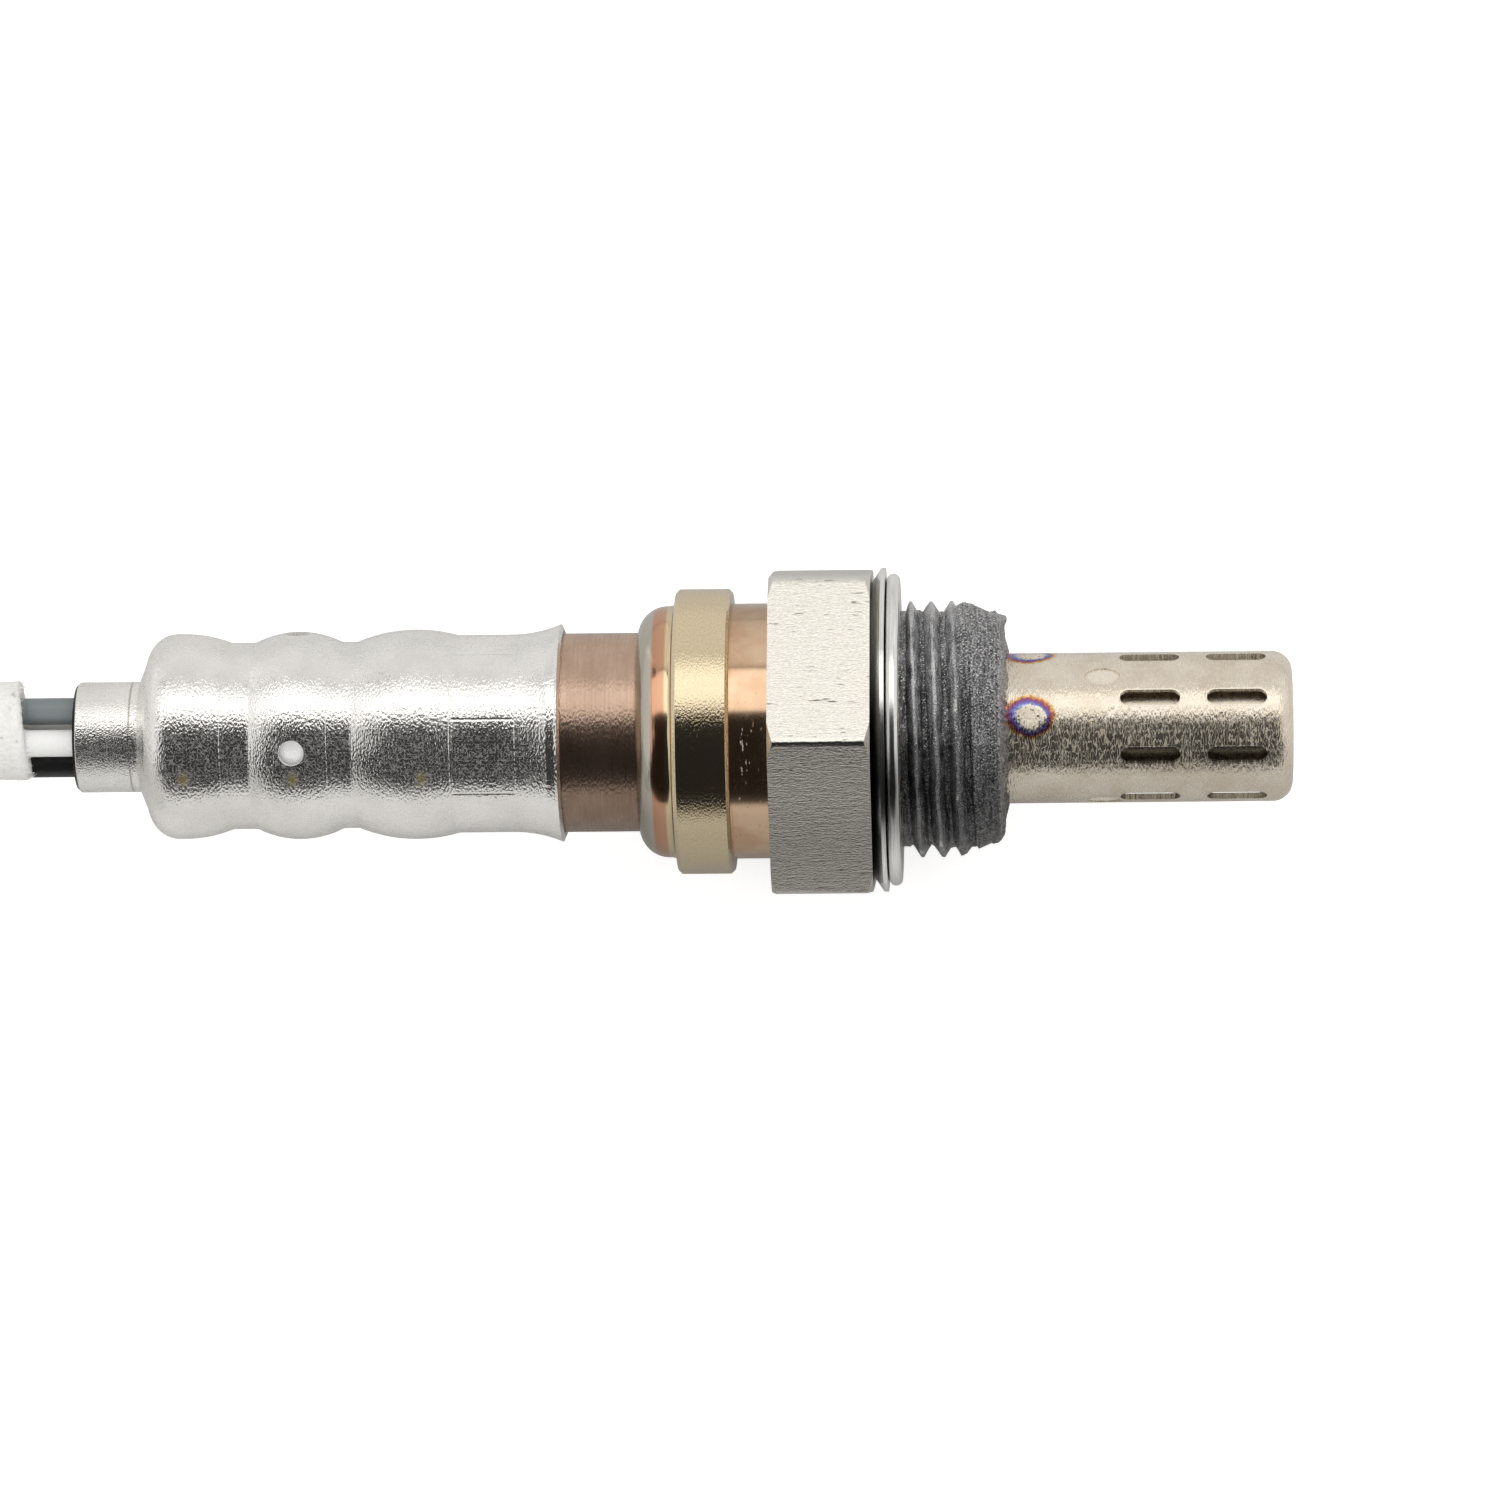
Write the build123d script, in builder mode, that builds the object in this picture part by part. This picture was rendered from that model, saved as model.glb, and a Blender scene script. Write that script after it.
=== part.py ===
from build123d import *
from math import acos, cos, degrees, pi, radians, sin, sqrt, tan
import os

# Heated exhaust oxygen sensor, lying on its hexagon and washer.
# X is the sensor's axis, with the gas end towards +X and the seat of the hexagon at X = 0.
# Angles round the axis are measured from +Y towards +Z. All sizes are in millimetres.

# Clearances
fit = 0.05
seat_gap = 0.02
cut_margin = 1.0

# Shell: rolled lip, ring, collar, hexagon, threaded spigot and nose, turned in one piece
hex_step = 4.0
hex_length = 7.1
hex_chamfer_depth = 0.7
hex_chamfer_length = 0.4
collar_radius = 8.98
collar_length = 2.72
ring_radius = 10.03
ring_length = 3.95
ring_chamfer = 0.25
lip_radius = 8.85
lip_length = 2.99
lip_root_length = 0.45
lip_edge = 0.3
lip_crown_length = 0.96
lip_crown_drop = 0.54
thread_radius = 9.0
thread_length = 9.2
thread_chamfer_length = 2.1
thread_chamfer_depth = 1.45
relief_depth = 0.85
relief_length = 2.05
relief_rise = 0.45
nose_length = 3.4
main_bore_radius = 6.3
seat_depth = 2.0
flange_pocket_radius = 7.9

# Folded steel washer
gasket_overhang = 0.4
gasket_front_step = 0.42
gasket_bore_gap = 0.2
gasket_length = 1.95
gasket_dish = 1.0
gasket_rim_x = 0.68
gasket_rim_width = 0.3
gasket_fold_gap = 0.1
gasket_fold_depth = 2.0
gasket_round = 0.3
gasket_bevel = 0.4
gasket_thread_gap = 0.1

# Protection tubes
outer_tube_radius = 5.28
outer_tube_wall = 0.45
outer_tube_length = 20.15
outer_tube_corner = 1.4
tube_gap_to_shell = 0.05
slot_length = 4.2
slot_width = 1.2
slot_count = 8
slot_start_angle = 7.0
slot_ring_x = (19.4, 25.45)
tip_hole_radius = 1.0
dimple_x = 16.1
dimple_count = 3
dimple_angle = 77.0
dimple_depth = 0.16
dimple_length = 2.5
dimple_width = 1.6
inner_tube_radius = 4.2
inner_tube_wall = 0.3
inner_tube_end_gap = 0.7
inner_flange_thickness = 0.3
inner_hole_radius = 0.6
inner_hole_x = 14.2

# Sensing thimble and what seals it in the shell
thimble_collar_length = 5.5
thimble_collar_chamfer = 0.8
thimble_stem_radius = 3.5
thimble_root_radius = 3.4
thimble_tip_radius = 2.6
thimble_tip_x = 26.5
thimble_wall = 1.0
thimble_open_x = -21.0
washer_thickness = 0.5
talc_length = 4.5
bush_length = 5.0
packing_thickness = 0.8
packing_bore_radius = 5.2

# Heater rod
heater_radius = 1.5
heater_tip_gap = 0.3

# Inner cover
cover_sheet = 0.4
inner_cover_radius = 7.0
inner_cover_mid_radius = 6.45
inner_cover_rear_radius = 5.6
inner_cover_step_length = 1.5
inner_cover_overlap = 1.3

# Outer cover, from its flared front edge back to its neck
cover_wall = 0.45
cover_front_x = -21.9
flare_radius = 7.68
flare_mid_radius = 7.18
flare_length = 3.1
band_radius = 6.97
band_length = 4.2
bulge_3_radius = 7.38
bulge_3_length = 7.1
groove_radius = 6.58
groove_front_length = 1.1
bulge_2_radius = 7.32
bulge_2_length = 6.1
groove_rear_length = 1.7
bulge_1_radius = 7.24
bulge_1_length = 5.85
bulge_1_peak = 2.25
bulge_1_mid_radius = 7.1
shoulder_radius = 5.5
shoulder_mid_radius = 6.74
shoulder_mid_length = 0.7
shoulder_length = 0.65
neck_radius = 3.9
neck_length = 4.5
neck_edge = 0.25
vent_radius = 0.875
vent_count = 4
vent_angle = 40.0

# Vent filter
filter_rear_margin = 0.15
filter_swell = 0.4
filter_swell_length = 3.4

# Terminal block, contacts, wires and grommet
block_length = 10.8
block_chamfer = 0.4
wire_radius = 0.95
conductor_radius = 0.5
wire_pitch_radius = 1.9
wire_angle = 42.0
barrel_wall = 0.3
barrel_length = 4.5
barrel_inset = 1.0
contact_thickness = 0.3
contact_width = 0.8
signal_sleeve_length = 9.0
signal_overhang = 1.0
ground_sleeve_length = 7.0
grommet_recess = 0.4
grommet_body_length = 3.6
grommet_chamfer = 1.0

# Lead, coil and connector, which lie on the surface under the sensor
sleeve_diameter = 7.0
bend_share = 0.45
bare_wire_length = 3.38
coil_radius = 35.0
coil_run = 43.9
coil_side_y = 7.5
lead_shares = (
    (0, 0, 0),
    (0.17, 0, 0),
    (0.34, 0.11, 0.135),
    (0.52, 0.32, 0.43),
    (0.7, 0.57, 0.76),
    (0.875, 0.88, 0.97),
)
coil_bevel = 1.6
tie_thickness = 0.5
tie_gap = 0.1
tie_width = 4.0
tie_angle = 250.0
tail_length = 36.0
tail_drop = 4.5
tail_shift = -3.0
connector_wire_length = 4.0
connector_length = 30.0
connector_width = 17.0
connector_height = 13.0
connector_corner = 2.0
connector_nose_length = 10.0
connector_nose_width = 14.0
connector_nose_height = 9.4
seal_pocket_depth = 5.5
seal_margin = 2.2
cavity_size = 2.1
terminal_size = 1.9
terminal_wall = 0.4
lock_depth = 2.5
lock_margin = 1.6
face_seal_length = 2.6
face_seal_proud = 0.7
latch_length = 17.0
latch_width = 6.0
latch_thickness = 1.4
latch_gap = 1.1
latch_root = 2.5

os.makedirs("parts", exist_ok=True)


def finish(builder, label):
    """Label a finished piece and write it to its own file."""
    builder.part.label = label
    export_step(builder.part, f"parts/{label}.step")


def radial_plane(x, angle):
    """A plane through the axis at x whose normal points outwards at the given angle."""
    outwards = (0, cos(radians(angle)), sin(radians(angle)))
    return Plane(origin=(x, 0, 0), x_dir=(1, 0, 0), z_dir=outwards)


def turn(points):
    """A piece turned about the axis from a closed outline of (x, radius) points."""
    with BuildPart() as piece:
        with BuildSketch():
            with BuildLine():
                Polyline(*points, close=True)
            make_face()
        revolve(axis=Axis.X)
    return piece


def tube_points(x_rear, x_front, bore, radius):
    """The outline of a plain tube."""
    return [(x_rear, bore), (x_front, bore), (x_front, radius), (x_rear, radius)]


# Stations along the axis that several pieces share
hex_rear_x = -hex_length
collar_rear_x = hex_rear_x - collar_length
ring_rear_x = collar_rear_x - ring_length
lip_rear_x = ring_rear_x - lip_length
nose_end_x = thread_length + nose_length
washer_front_x = seat_depth - inner_flange_thickness
collar_front_x = washer_front_x - washer_thickness
talc_front_x = collar_front_x - thimble_collar_length
bush_front_x = talc_front_x - talc_length
packing_front_x = bush_front_x - bush_length
pocket_x = packing_front_x - packing_thickness
stack_radius = main_bore_radius - fit
band_front_x = cover_front_x - flare_length
band_rear_x = band_front_x - band_length
bulge_3_rear_x = band_rear_x - bulge_3_length
bulge_2_front_x = bulge_3_rear_x - groove_front_length
bulge_2_rear_x = bulge_2_front_x - bulge_2_length
bulge_1_front_x = bulge_2_rear_x - groove_rear_length
bulge_1_rear_x = bulge_1_front_x - bulge_1_length
neck_front_x = bulge_1_rear_x - shoulder_length
neck_rear_x = neck_front_x - neck_length
bulge_2_x = (bulge_2_front_x + bulge_2_rear_x) / 2
rear_step_x = bulge_3_rear_x + inner_cover_step_length
block_rear_x = rear_step_x + seat_gap
block_front_x = block_rear_x + block_length
inner_cover_rear_x = bulge_1_front_x - inner_cover_overlap
relief_radius = thread_radius - relief_depth
gasket_bore_radius = relief_radius + gasket_bore_gap
hex_across_flats = 2 * thread_radius + hex_step
hex_corner_radius = hex_across_flats / sqrt(3)
gasket_radius = hex_across_flats / 2 + gasket_overhang
floor_z = -gasket_radius
sleeve_mouth_x = neck_rear_x - bare_wire_length

# Shell, rolled so that a lower corner of the hexagon touches the floor together with the washer's rim
hex_roll = 30 - degrees(acos(gasket_radius / hex_corner_radius))
nose_radius = outer_tube_radius - outer_tube_wall - fit
nose_bore_radius = inner_tube_radius + fit
lip_bore_radius = inner_cover_radius + fit
lip_inner_x = pocket_x - cover_sheet - seat_gap
with BuildPart() as shell:
    with BuildSketch():
        with BuildLine():
            rim = Polyline(
                (lip_rear_x + lip_edge, lip_bore_radius),
                (lip_inner_x, lip_bore_radius),
                (lip_inner_x, flange_pocket_radius),
                (pocket_x, flange_pocket_radius),
                (pocket_x, main_bore_radius),
                (seat_depth, main_bore_radius),
                (seat_depth, nose_bore_radius),
                (nose_end_x, nose_bore_radius),
                (nose_end_x, nose_radius),
                (thread_length, nose_radius),
                (thread_length, thread_radius - thread_chamfer_depth),
                (thread_length - thread_chamfer_length, thread_radius),
                (relief_length + relief_rise, thread_radius),
                (relief_length, relief_radius),
                (hex_rear_x, relief_radius),
                (hex_rear_x, collar_radius),
                (collar_rear_x, collar_radius),
                (collar_rear_x, ring_radius - ring_chamfer),
                (collar_rear_x - ring_chamfer, ring_radius),
                (ring_rear_x + ring_chamfer, ring_radius),
                (ring_rear_x, ring_radius - ring_chamfer),
                (ring_rear_x, lip_radius + lip_root_length),
            )
            root = JernArc(rim @ 1, (0, -1), lip_root_length, -90)
            ThreePointArc(
                root @ 1,
                (lip_rear_x + lip_crown_length, lip_radius - lip_crown_drop),
                (lip_rear_x + lip_edge, lip_bore_radius),
            )
        make_face()
    revolve(axis=Axis.X)
    with BuildSketch(Plane.YZ.offset(hex_rear_x)):
        RegularPolygon(hex_across_flats / 2, 6, major_radius=False, rotation=hex_roll)
        Circle(main_bore_radius, mode=Mode.SUBTRACT)
    extrude(amount=hex_length)
    with BuildSketch():
        for face_x, inwards in ((0, -1), (hex_rear_x, 1)):
            with BuildLine():
                Polyline(
                    (face_x, hex_corner_radius - hex_chamfer_depth),
                    (face_x, hex_corner_radius + hex_chamfer_depth),
                    (face_x + inwards * 2 * hex_chamfer_length, hex_corner_radius + hex_chamfer_depth),
                    close=True,
                )
            make_face()
    revolve(axis=Axis.X, mode=Mode.SUBTRACT)
finish(shell, "shell")

# Gasket: a steel strip folded into a dished rear leaf and a rolled front leaf
fold_x = gasket_rim_x + gasket_rim_width
front_leaf_x = fold_x + gasket_fold_gap
gasket_front_radius = gasket_radius - gasket_front_step
with BuildPart() as gasket:
    with BuildSketch():
        with BuildLine():
            leaves = Polyline(
                (front_leaf_x, gasket_front_radius - gasket_round),
                (fold_x + gasket_fold_gap / 2, gasket_radius - gasket_fold_depth),
                (fold_x, gasket_radius),
                (gasket_rim_x, gasket_radius),
                (seat_gap, gasket_radius - gasket_dish),
                (seat_gap, gasket_bore_radius),
                (gasket_length - gasket_bevel, gasket_bore_radius),
                (gasket_length, thread_radius + gasket_thread_gap),
                (gasket_length, gasket_front_radius - gasket_round),
            )
            ThreePointArc(leaves @ 1, ((front_leaf_x + gasket_length) / 2, gasket_front_radius), leaves @ 0)
        make_face()
    revolve(axis=Axis.X)
finish(gasket, "gasket")

# Outer protection tube, pushed over the shell's nose and welded there
outer_tube_rear_x = thread_length + tube_gap_to_shell
outer_tube_end_x = outer_tube_rear_x + outer_tube_length
slot_angles = [slot_start_angle + 360 / slot_count * k for k in range(slot_count)]
with BuildPart() as outer_tube:
    with BuildSketch():
        with BuildLine():
            wall_line = Polyline(
                (outer_tube_end_x, tip_hole_radius),
                (outer_tube_end_x - outer_tube_wall, tip_hole_radius),
                (outer_tube_end_x - outer_tube_wall, outer_tube_radius - outer_tube_corner),
                (outer_tube_end_x - outer_tube_corner, outer_tube_radius - outer_tube_wall),
                (outer_tube_rear_x, outer_tube_radius - outer_tube_wall),
                (outer_tube_rear_x, outer_tube_radius),
                (outer_tube_end_x - outer_tube_corner, outer_tube_radius),
            )
            corner = JernArc(wall_line @ 1, (1, 0), outer_tube_corner, -90)
            Line(corner @ 1, wall_line @ 0)
        make_face()
    revolve(axis=Axis.X)
    for slot_x in slot_ring_x:
        with BuildSketch(*[radial_plane(slot_x, angle) for angle in slot_angles]):
            SlotOverall(slot_length, slot_width)
        extrude(amount=outer_tube_radius + cut_margin, mode=Mode.SUBTRACT)
    dimple_floor = outer_tube_radius - dimple_depth
    dimple_angles = [dimple_angle + 360 / dimple_count * k for k in range(dimple_count)]
    with BuildSketch(*[radial_plane(dimple_x, angle).offset(dimple_floor) for angle in dimple_angles]):
        Ellipse(dimple_length / 2, dimple_width / 2)
    extrude(amount=2 * dimple_depth, mode=Mode.SUBTRACT)
finish(outer_tube, "outer_protection_tube")

# Inner protection tube, with its flange clamped on the shell's seat
inner_tube_end_x = outer_tube_end_x - outer_tube_wall - inner_tube_end_gap
inner_bore_radius = inner_tube_radius - inner_tube_wall
with BuildPart() as inner_tube:
    with BuildSketch():
        with BuildLine():
            Polyline(
                (washer_front_x, inner_bore_radius),
                (inner_tube_end_x - inner_tube_wall, inner_bore_radius),
                (inner_tube_end_x - inner_tube_wall, 0),
                (inner_tube_end_x, 0),
                (inner_tube_end_x, inner_tube_radius),
                (seat_depth, inner_tube_radius),
                (seat_depth, stack_radius),
                (washer_front_x, stack_radius),
                close=True,
            )
        make_face()
    revolve(axis=Axis.X)
    half_step = 180 / slot_count
    with BuildSketch(*[radial_plane(inner_hole_x, angle + half_step) for angle in slot_angles[::2]]):
        Circle(inner_hole_radius)
    extrude(amount=inner_tube_radius + cut_margin, mode=Mode.SUBTRACT)
finish(inner_tube, "inner_protection_tube")

# Seal stack between the seat and the rolled lip
stem_bore_radius = thimble_stem_radius + fit
thimble_washer = turn(tube_points(collar_front_x, washer_front_x, inner_bore_radius, stack_radius))
finish(thimble_washer, "thimble_washer")
talc_ring = turn(tube_points(bush_front_x, talc_front_x, stem_bore_radius, stack_radius))
finish(talc_ring, "talc_ring")
ceramic_bush = turn(tube_points(packing_front_x, bush_front_x, stem_bore_radius, stack_radius))
finish(ceramic_bush, "ceramic_bush")
packing_ring = turn(tube_points(pocket_x, packing_front_x, packing_bore_radius, stack_radius))
finish(packing_ring, "packing_ring")

# Sensing thimble: a closed tube with a collar, tapering to a round tip
thimble_bore_radius = thimble_tip_radius - thimble_wall
stem_inner_radius = thimble_stem_radius - thimble_wall
with BuildPart() as thimble:
    with BuildSketch():
        with BuildLine():
            outline = Polyline(
                (thimble_tip_x - thimble_wall, 0),
                (thimble_tip_x - thimble_wall, thimble_bore_radius),
                (collar_front_x, stem_inner_radius),
                (thimble_open_x, stem_inner_radius),
                (thimble_open_x, thimble_stem_radius),
                (talc_front_x, thimble_stem_radius),
                (talc_front_x, stack_radius),
                (collar_front_x - thimble_collar_chamfer, stack_radius),
                (collar_front_x, stack_radius - thimble_collar_chamfer),
                (collar_front_x, thimble_root_radius),
                (thimble_tip_x - thimble_tip_radius, thimble_tip_radius),
            )
            tip = ThreePointArc(
                outline @ 1,
                (
                    thimble_tip_x - thimble_tip_radius * (1 - cos(radians(45))),
                    thimble_tip_radius * sin(radians(45)),
                ),
                (thimble_tip_x, 0),
            )
            Line(tip @ 1, outline @ 0)
        make_face()
    revolve(axis=Axis.X)
finish(thimble, "sensing_thimble")

# Heater rod
heater_tip_x = thimble_tip_x - thimble_wall - heater_tip_gap
heater_rear_x = block_front_x + fit
with BuildPart() as heater:
    with BuildSketch(Plane.YZ.offset(heater_rear_x)):
        Circle(heater_radius)
    extrude(amount=heater_tip_x - heater_rear_x)
    chamfer(heater.edges().group_by(Axis.X)[-1], heater_radius / 3)
finish(heater, "heater_rod")

# Inner cover: a flanged tube that steps down twice, so that the outer cover can be crimped on it
flange_rear_x = pocket_x - cover_sheet
inner_step_x = cover_front_x - inner_cover_step_length
vent_angles = [vent_angle + 360 / vent_count * k for k in range(vent_count)]
with BuildPart() as inner_cover:
    with BuildSketch():
        with BuildLine():
            Polyline(
                (pocket_x, inner_cover_radius - cover_sheet),
                (pocket_x, flange_pocket_radius - fit),
                (flange_rear_x, flange_pocket_radius - fit),
                (flange_rear_x, inner_cover_radius),
                (cover_front_x, inner_cover_radius),
                (inner_step_x, inner_cover_mid_radius),
                (rear_step_x, inner_cover_mid_radius),
                (bulge_3_rear_x, inner_cover_rear_radius),
                (inner_cover_rear_x, inner_cover_rear_radius),
                (inner_cover_rear_x, inner_cover_rear_radius - cover_sheet),
                (bulge_3_rear_x, inner_cover_rear_radius - cover_sheet),
                (rear_step_x, inner_cover_mid_radius - cover_sheet),
                (inner_step_x, inner_cover_mid_radius - cover_sheet),
                (cover_front_x, inner_cover_radius - cover_sheet),
                close=True,
            )
        make_face()
    revolve(axis=Axis.X)
    with BuildSketch(*[radial_plane(bulge_2_x, angle) for angle in vent_angles]):
        Circle(vent_radius)
    extrude(amount=inner_cover_radius + cut_margin, mode=Mode.SUBTRACT)
finish(inner_cover, "inner_cover")

# Outer cover: a drawn steel cap with a flared edge, a crimped band, three bulges, two grooves and a neck
groove_inner = groove_radius - cover_wall
band_inner = band_radius - cover_wall
bulge_1_x = bulge_1_rear_x + bulge_1_peak
with BuildPart() as outer_cover:
    with BuildSketch():
        with BuildLine():
            flare = ThreePointArc(
                (cover_front_x, flare_radius),
                (band_front_x + flare_length / 2, flare_mid_radius),
                (band_front_x, band_radius),
            )
            band = Line(flare @ 1, (band_rear_x, band_radius))
            bulge_3 = ThreePointArc(
                band @ 1,
                ((band_rear_x + bulge_3_rear_x) / 2, bulge_3_radius),
                (bulge_3_rear_x, groove_radius),
            )
            groove_front = Line(bulge_3 @ 1, (bulge_2_front_x, groove_radius))
            bulge_2 = ThreePointArc(
                groove_front @ 1,
                (bulge_2_x, bulge_2_radius),
                (bulge_2_rear_x, groove_radius),
            )
            groove_rear = Line(bulge_2 @ 1, (bulge_1_front_x, groove_radius))
            bulge_1 = ThreePointArc(
                groove_rear @ 1,
                ((bulge_1_front_x + bulge_1_x) / 2, bulge_1_mid_radius),
                (bulge_1_x, bulge_1_radius),
            )
            shoulder = ThreePointArc(
                bulge_1 @ 1,
                (bulge_1_rear_x + shoulder_mid_length, shoulder_mid_radius),
                (bulge_1_rear_x, shoulder_radius),
            )
            face = Line(shoulder @ 1, (neck_front_x, neck_radius))
            Line(face @ 1, (neck_rear_x, neck_radius))
            offset(amount=cover_wall, side=Side.LEFT, kind=Kind.INTERSECTION)
        make_face()
    revolve(axis=Axis.X)
    chamfer(outer_cover.edges().group_by(Axis.X)[0].sort_by(SortBy.RADIUS)[-1], neck_edge)
    with BuildSketch(*[radial_plane(bulge_2_x, angle) for angle in vent_angles]):
        Circle(vent_radius)
    extrude(amount=bulge_2_radius + cut_margin, mode=Mode.SUBTRACT)
finish(outer_cover, "outer_cover")

# Vent filter: a porous sleeve clamped under both grooves, swelling into the bulge between them
filter_outer = groove_inner - fit
filter_rear_x = bulge_1_front_x + filter_rear_margin
filter_bore = inner_cover_rear_radius + fit
vent_filter = turn(
    [
        (filter_rear_x, filter_bore),
        (bulge_3_rear_x, filter_bore),
        (bulge_3_rear_x, filter_outer),
        (bulge_2_x + filter_swell_length / 2 + filter_swell, filter_outer),
        (bulge_2_x + filter_swell_length / 2, filter_outer + filter_swell),
        (bulge_2_x - filter_swell_length / 2, filter_outer + filter_swell),
        (bulge_2_x - filter_swell_length / 2 - filter_swell, filter_outer),
        (filter_rear_x, filter_outer),
    ]
)
finish(vent_filter, "vent_filter")

# Terminal block: ceramic, with a bore for each wire's crimp
wire_angles = [wire_angle + 90 * k for k in range(4)]
wire_spots = [
    (wire_pitch_radius * cos(radians(angle)), wire_pitch_radius * sin(radians(angle)))
    for angle in wire_angles
]
barrel_radius = wire_radius + fit
bore_radius = barrel_radius + fit
with BuildPart() as terminal_block:
    with BuildSketch(Plane.YZ.offset(block_rear_x)):
        Circle(inner_cover_mid_radius - cover_sheet - fit)
        with Locations(*wire_spots):
            Circle(bore_radius, mode=Mode.SUBTRACT)
    extrude(amount=block_length)
    chamfer(terminal_block.edges().group_by(Axis.X)[-1].sort_by(SortBy.RADIUS)[-1], block_chamfer)
finish(terminal_block, "terminal_block")

# Contacts: a crimp barrel in the block, a strip, and a sleeve or a leaf at the other end
barrel_front_x = block_front_x - barrel_inset
barrel_rear_x = barrel_front_x - barrel_length
ground_angle, heater_angle_a, signal_angle, heater_angle_b = wire_angles
signal_sleeve_rear_x = thimble_open_x - signal_overhang
ground_strip_x = signal_sleeve_rear_x - contact_thickness
heater_leaf_x = signal_sleeve_rear_x - contact_thickness


def strip(angle, x_rear, x_front, r_low, r_high):
    """A straight sheet-metal strip that lies at one angle round the axis."""
    with BuildPart() as piece:
        with BuildSketch(radial_plane((x_rear + x_front) / 2, angle).offset(r_low)):
            Rectangle(x_front - x_rear, contact_width)
        extrude(amount=r_high - r_low)
    return piece.part


def barrel(angle):
    """A crimp barrel, closed at its front end."""
    spot = (wire_pitch_radius * cos(radians(angle)), wire_pitch_radius * sin(radians(angle)))
    with BuildPart() as piece:
        with BuildSketch(Plane.YZ.offset(barrel_rear_x)):
            with Locations(spot):
                Circle(barrel_radius)
        extrude(amount=barrel_length)
        with BuildSketch(Plane.YZ.offset(barrel_rear_x)):
            with Locations(spot):
                Circle(barrel_radius - barrel_wall)
        extrude(amount=barrel_length - barrel_wall, mode=Mode.SUBTRACT)
    return piece.part


strip_rear_x = barrel_front_x - barrel_wall
strip_low = wire_pitch_radius - contact_thickness / 2
strip_high = wire_pitch_radius + contact_thickness / 2
signal_outer = stem_inner_radius - fit
signal_strip_end_x = signal_sleeve_rear_x + contact_width
signal_strip = strip(signal_angle, strip_rear_x, signal_strip_end_x, strip_low, strip_high)
signal_barrel = barrel(signal_angle)
with BuildPart() as signal_contact:
    with BuildSketch(Plane.YZ.offset(signal_sleeve_rear_x)):
        Circle(signal_outer)
        Circle(heater_radius + fit, mode=Mode.SUBTRACT)
    extrude(amount=signal_sleeve_length)
    add(signal_barrel)
    add(signal_strip)
finish(signal_contact, "signal_contact")

ground_inner = thimble_stem_radius + fit
ground_outer = ground_inner + contact_thickness
ground_fold_x = ground_strip_x - contact_thickness
ground_strips = [
    strip(ground_angle, strip_rear_x, ground_strip_x, strip_low, strip_high),
    strip(ground_angle, ground_fold_x, ground_strip_x, strip_low, ground_outer),
    strip(ground_angle, ground_fold_x, thimble_open_x + contact_width, ground_inner + fit, ground_outer),
]
ground_barrel = barrel(ground_angle)
with BuildPart() as ground_contact:
    with BuildSketch(Plane.YZ.offset(thimble_open_x)):
        Circle(ground_outer)
        Circle(ground_inner, mode=Mode.SUBTRACT)
    extrude(amount=ground_sleeve_length)
    add(ground_barrel)
    add(ground_strips)
finish(ground_contact, "ground_contact")

leaf_low = heater_radius + fit
for label, angle in (("heater_contact_a", heater_angle_a), ("heater_contact_b", heater_angle_b)):
    heater_leaf = strip(angle, strip_rear_x, heater_leaf_x, leaf_low, leaf_low + contact_thickness)
    heater_barrel = barrel(angle)
    with BuildPart() as heater_contact:
        add(heater_barrel)
        add(heater_leaf)
    finish(heater_contact, label)

# Grommet: a rubber bung that fills the neck and the first bulge, with a bore for each wire
grommet_front_x = inner_cover_rear_x - seat_gap
grommet_shoulder_x = grommet_front_x - grommet_body_length
grommet_neck_radius = neck_radius - cover_wall - fit
grommet_body_radius = groove_inner - fit
with BuildPart() as grommet:
    with BuildSketch():
        with BuildLine():
            Polyline(
                (neck_rear_x + grommet_recess, 0),
                (neck_rear_x + grommet_recess, grommet_neck_radius),
                (neck_front_x + cover_wall, grommet_neck_radius),
                (grommet_shoulder_x, grommet_body_radius - grommet_chamfer),
                (grommet_shoulder_x + grommet_chamfer, grommet_body_radius),
                (grommet_front_x, grommet_body_radius),
                (grommet_front_x, 0),
                close=True,
            )
        make_face()
    revolve(axis=Axis.X)
    with BuildSketch(Plane.YZ.offset(neck_rear_x)):
        with Locations(*wire_spots):
            Circle(wire_radius + fit)
    extrude(amount=grommet_front_x - neck_rear_x, mode=Mode.SUBTRACT)
finish(grommet, "grommet")

# Lead wires: bared in the crimp barrels, and running straight out of the neck to the sleeve's mouth
wire_labels = ("grey", "white_front", "black", "white_rear")
conductor_length = barrel_length - 2 * barrel_wall
for label, spot in zip(wire_labels, wire_spots):
    with BuildPart() as wire:
        with BuildSketch(Plane.YZ.offset(sleeve_mouth_x)):
            with Locations(spot):
                Circle(wire_radius)
        extrude(amount=barrel_rear_x - seat_gap - sleeve_mouth_x)
        with BuildSketch(Plane.YZ.offset(barrel_rear_x - seat_gap)):
            with Locations(spot):
                Circle(conductor_radius)
        extrude(amount=conductor_length)
    finish(wire, f"lead_wire_{label}")

# Lead: a sleeve that drops gently to the floor and runs into a coil of two turns
sleeve_radius = sleeve_diameter / 2
coil_low = floor_z + tie_thickness
coil_high = coil_low + 2 * sleeve_diameter
coil_centre_x = sleeve_mouth_x - coil_run
coil_centre_y = coil_side_y - coil_radius
lead_drop = -(coil_low + sleeve_radius)
lead_route = [
    Vector(sleeve_mouth_x - coil_run * along, coil_side_y * aside, -lead_drop * down)
    for along, aside, down in lead_shares
]


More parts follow.
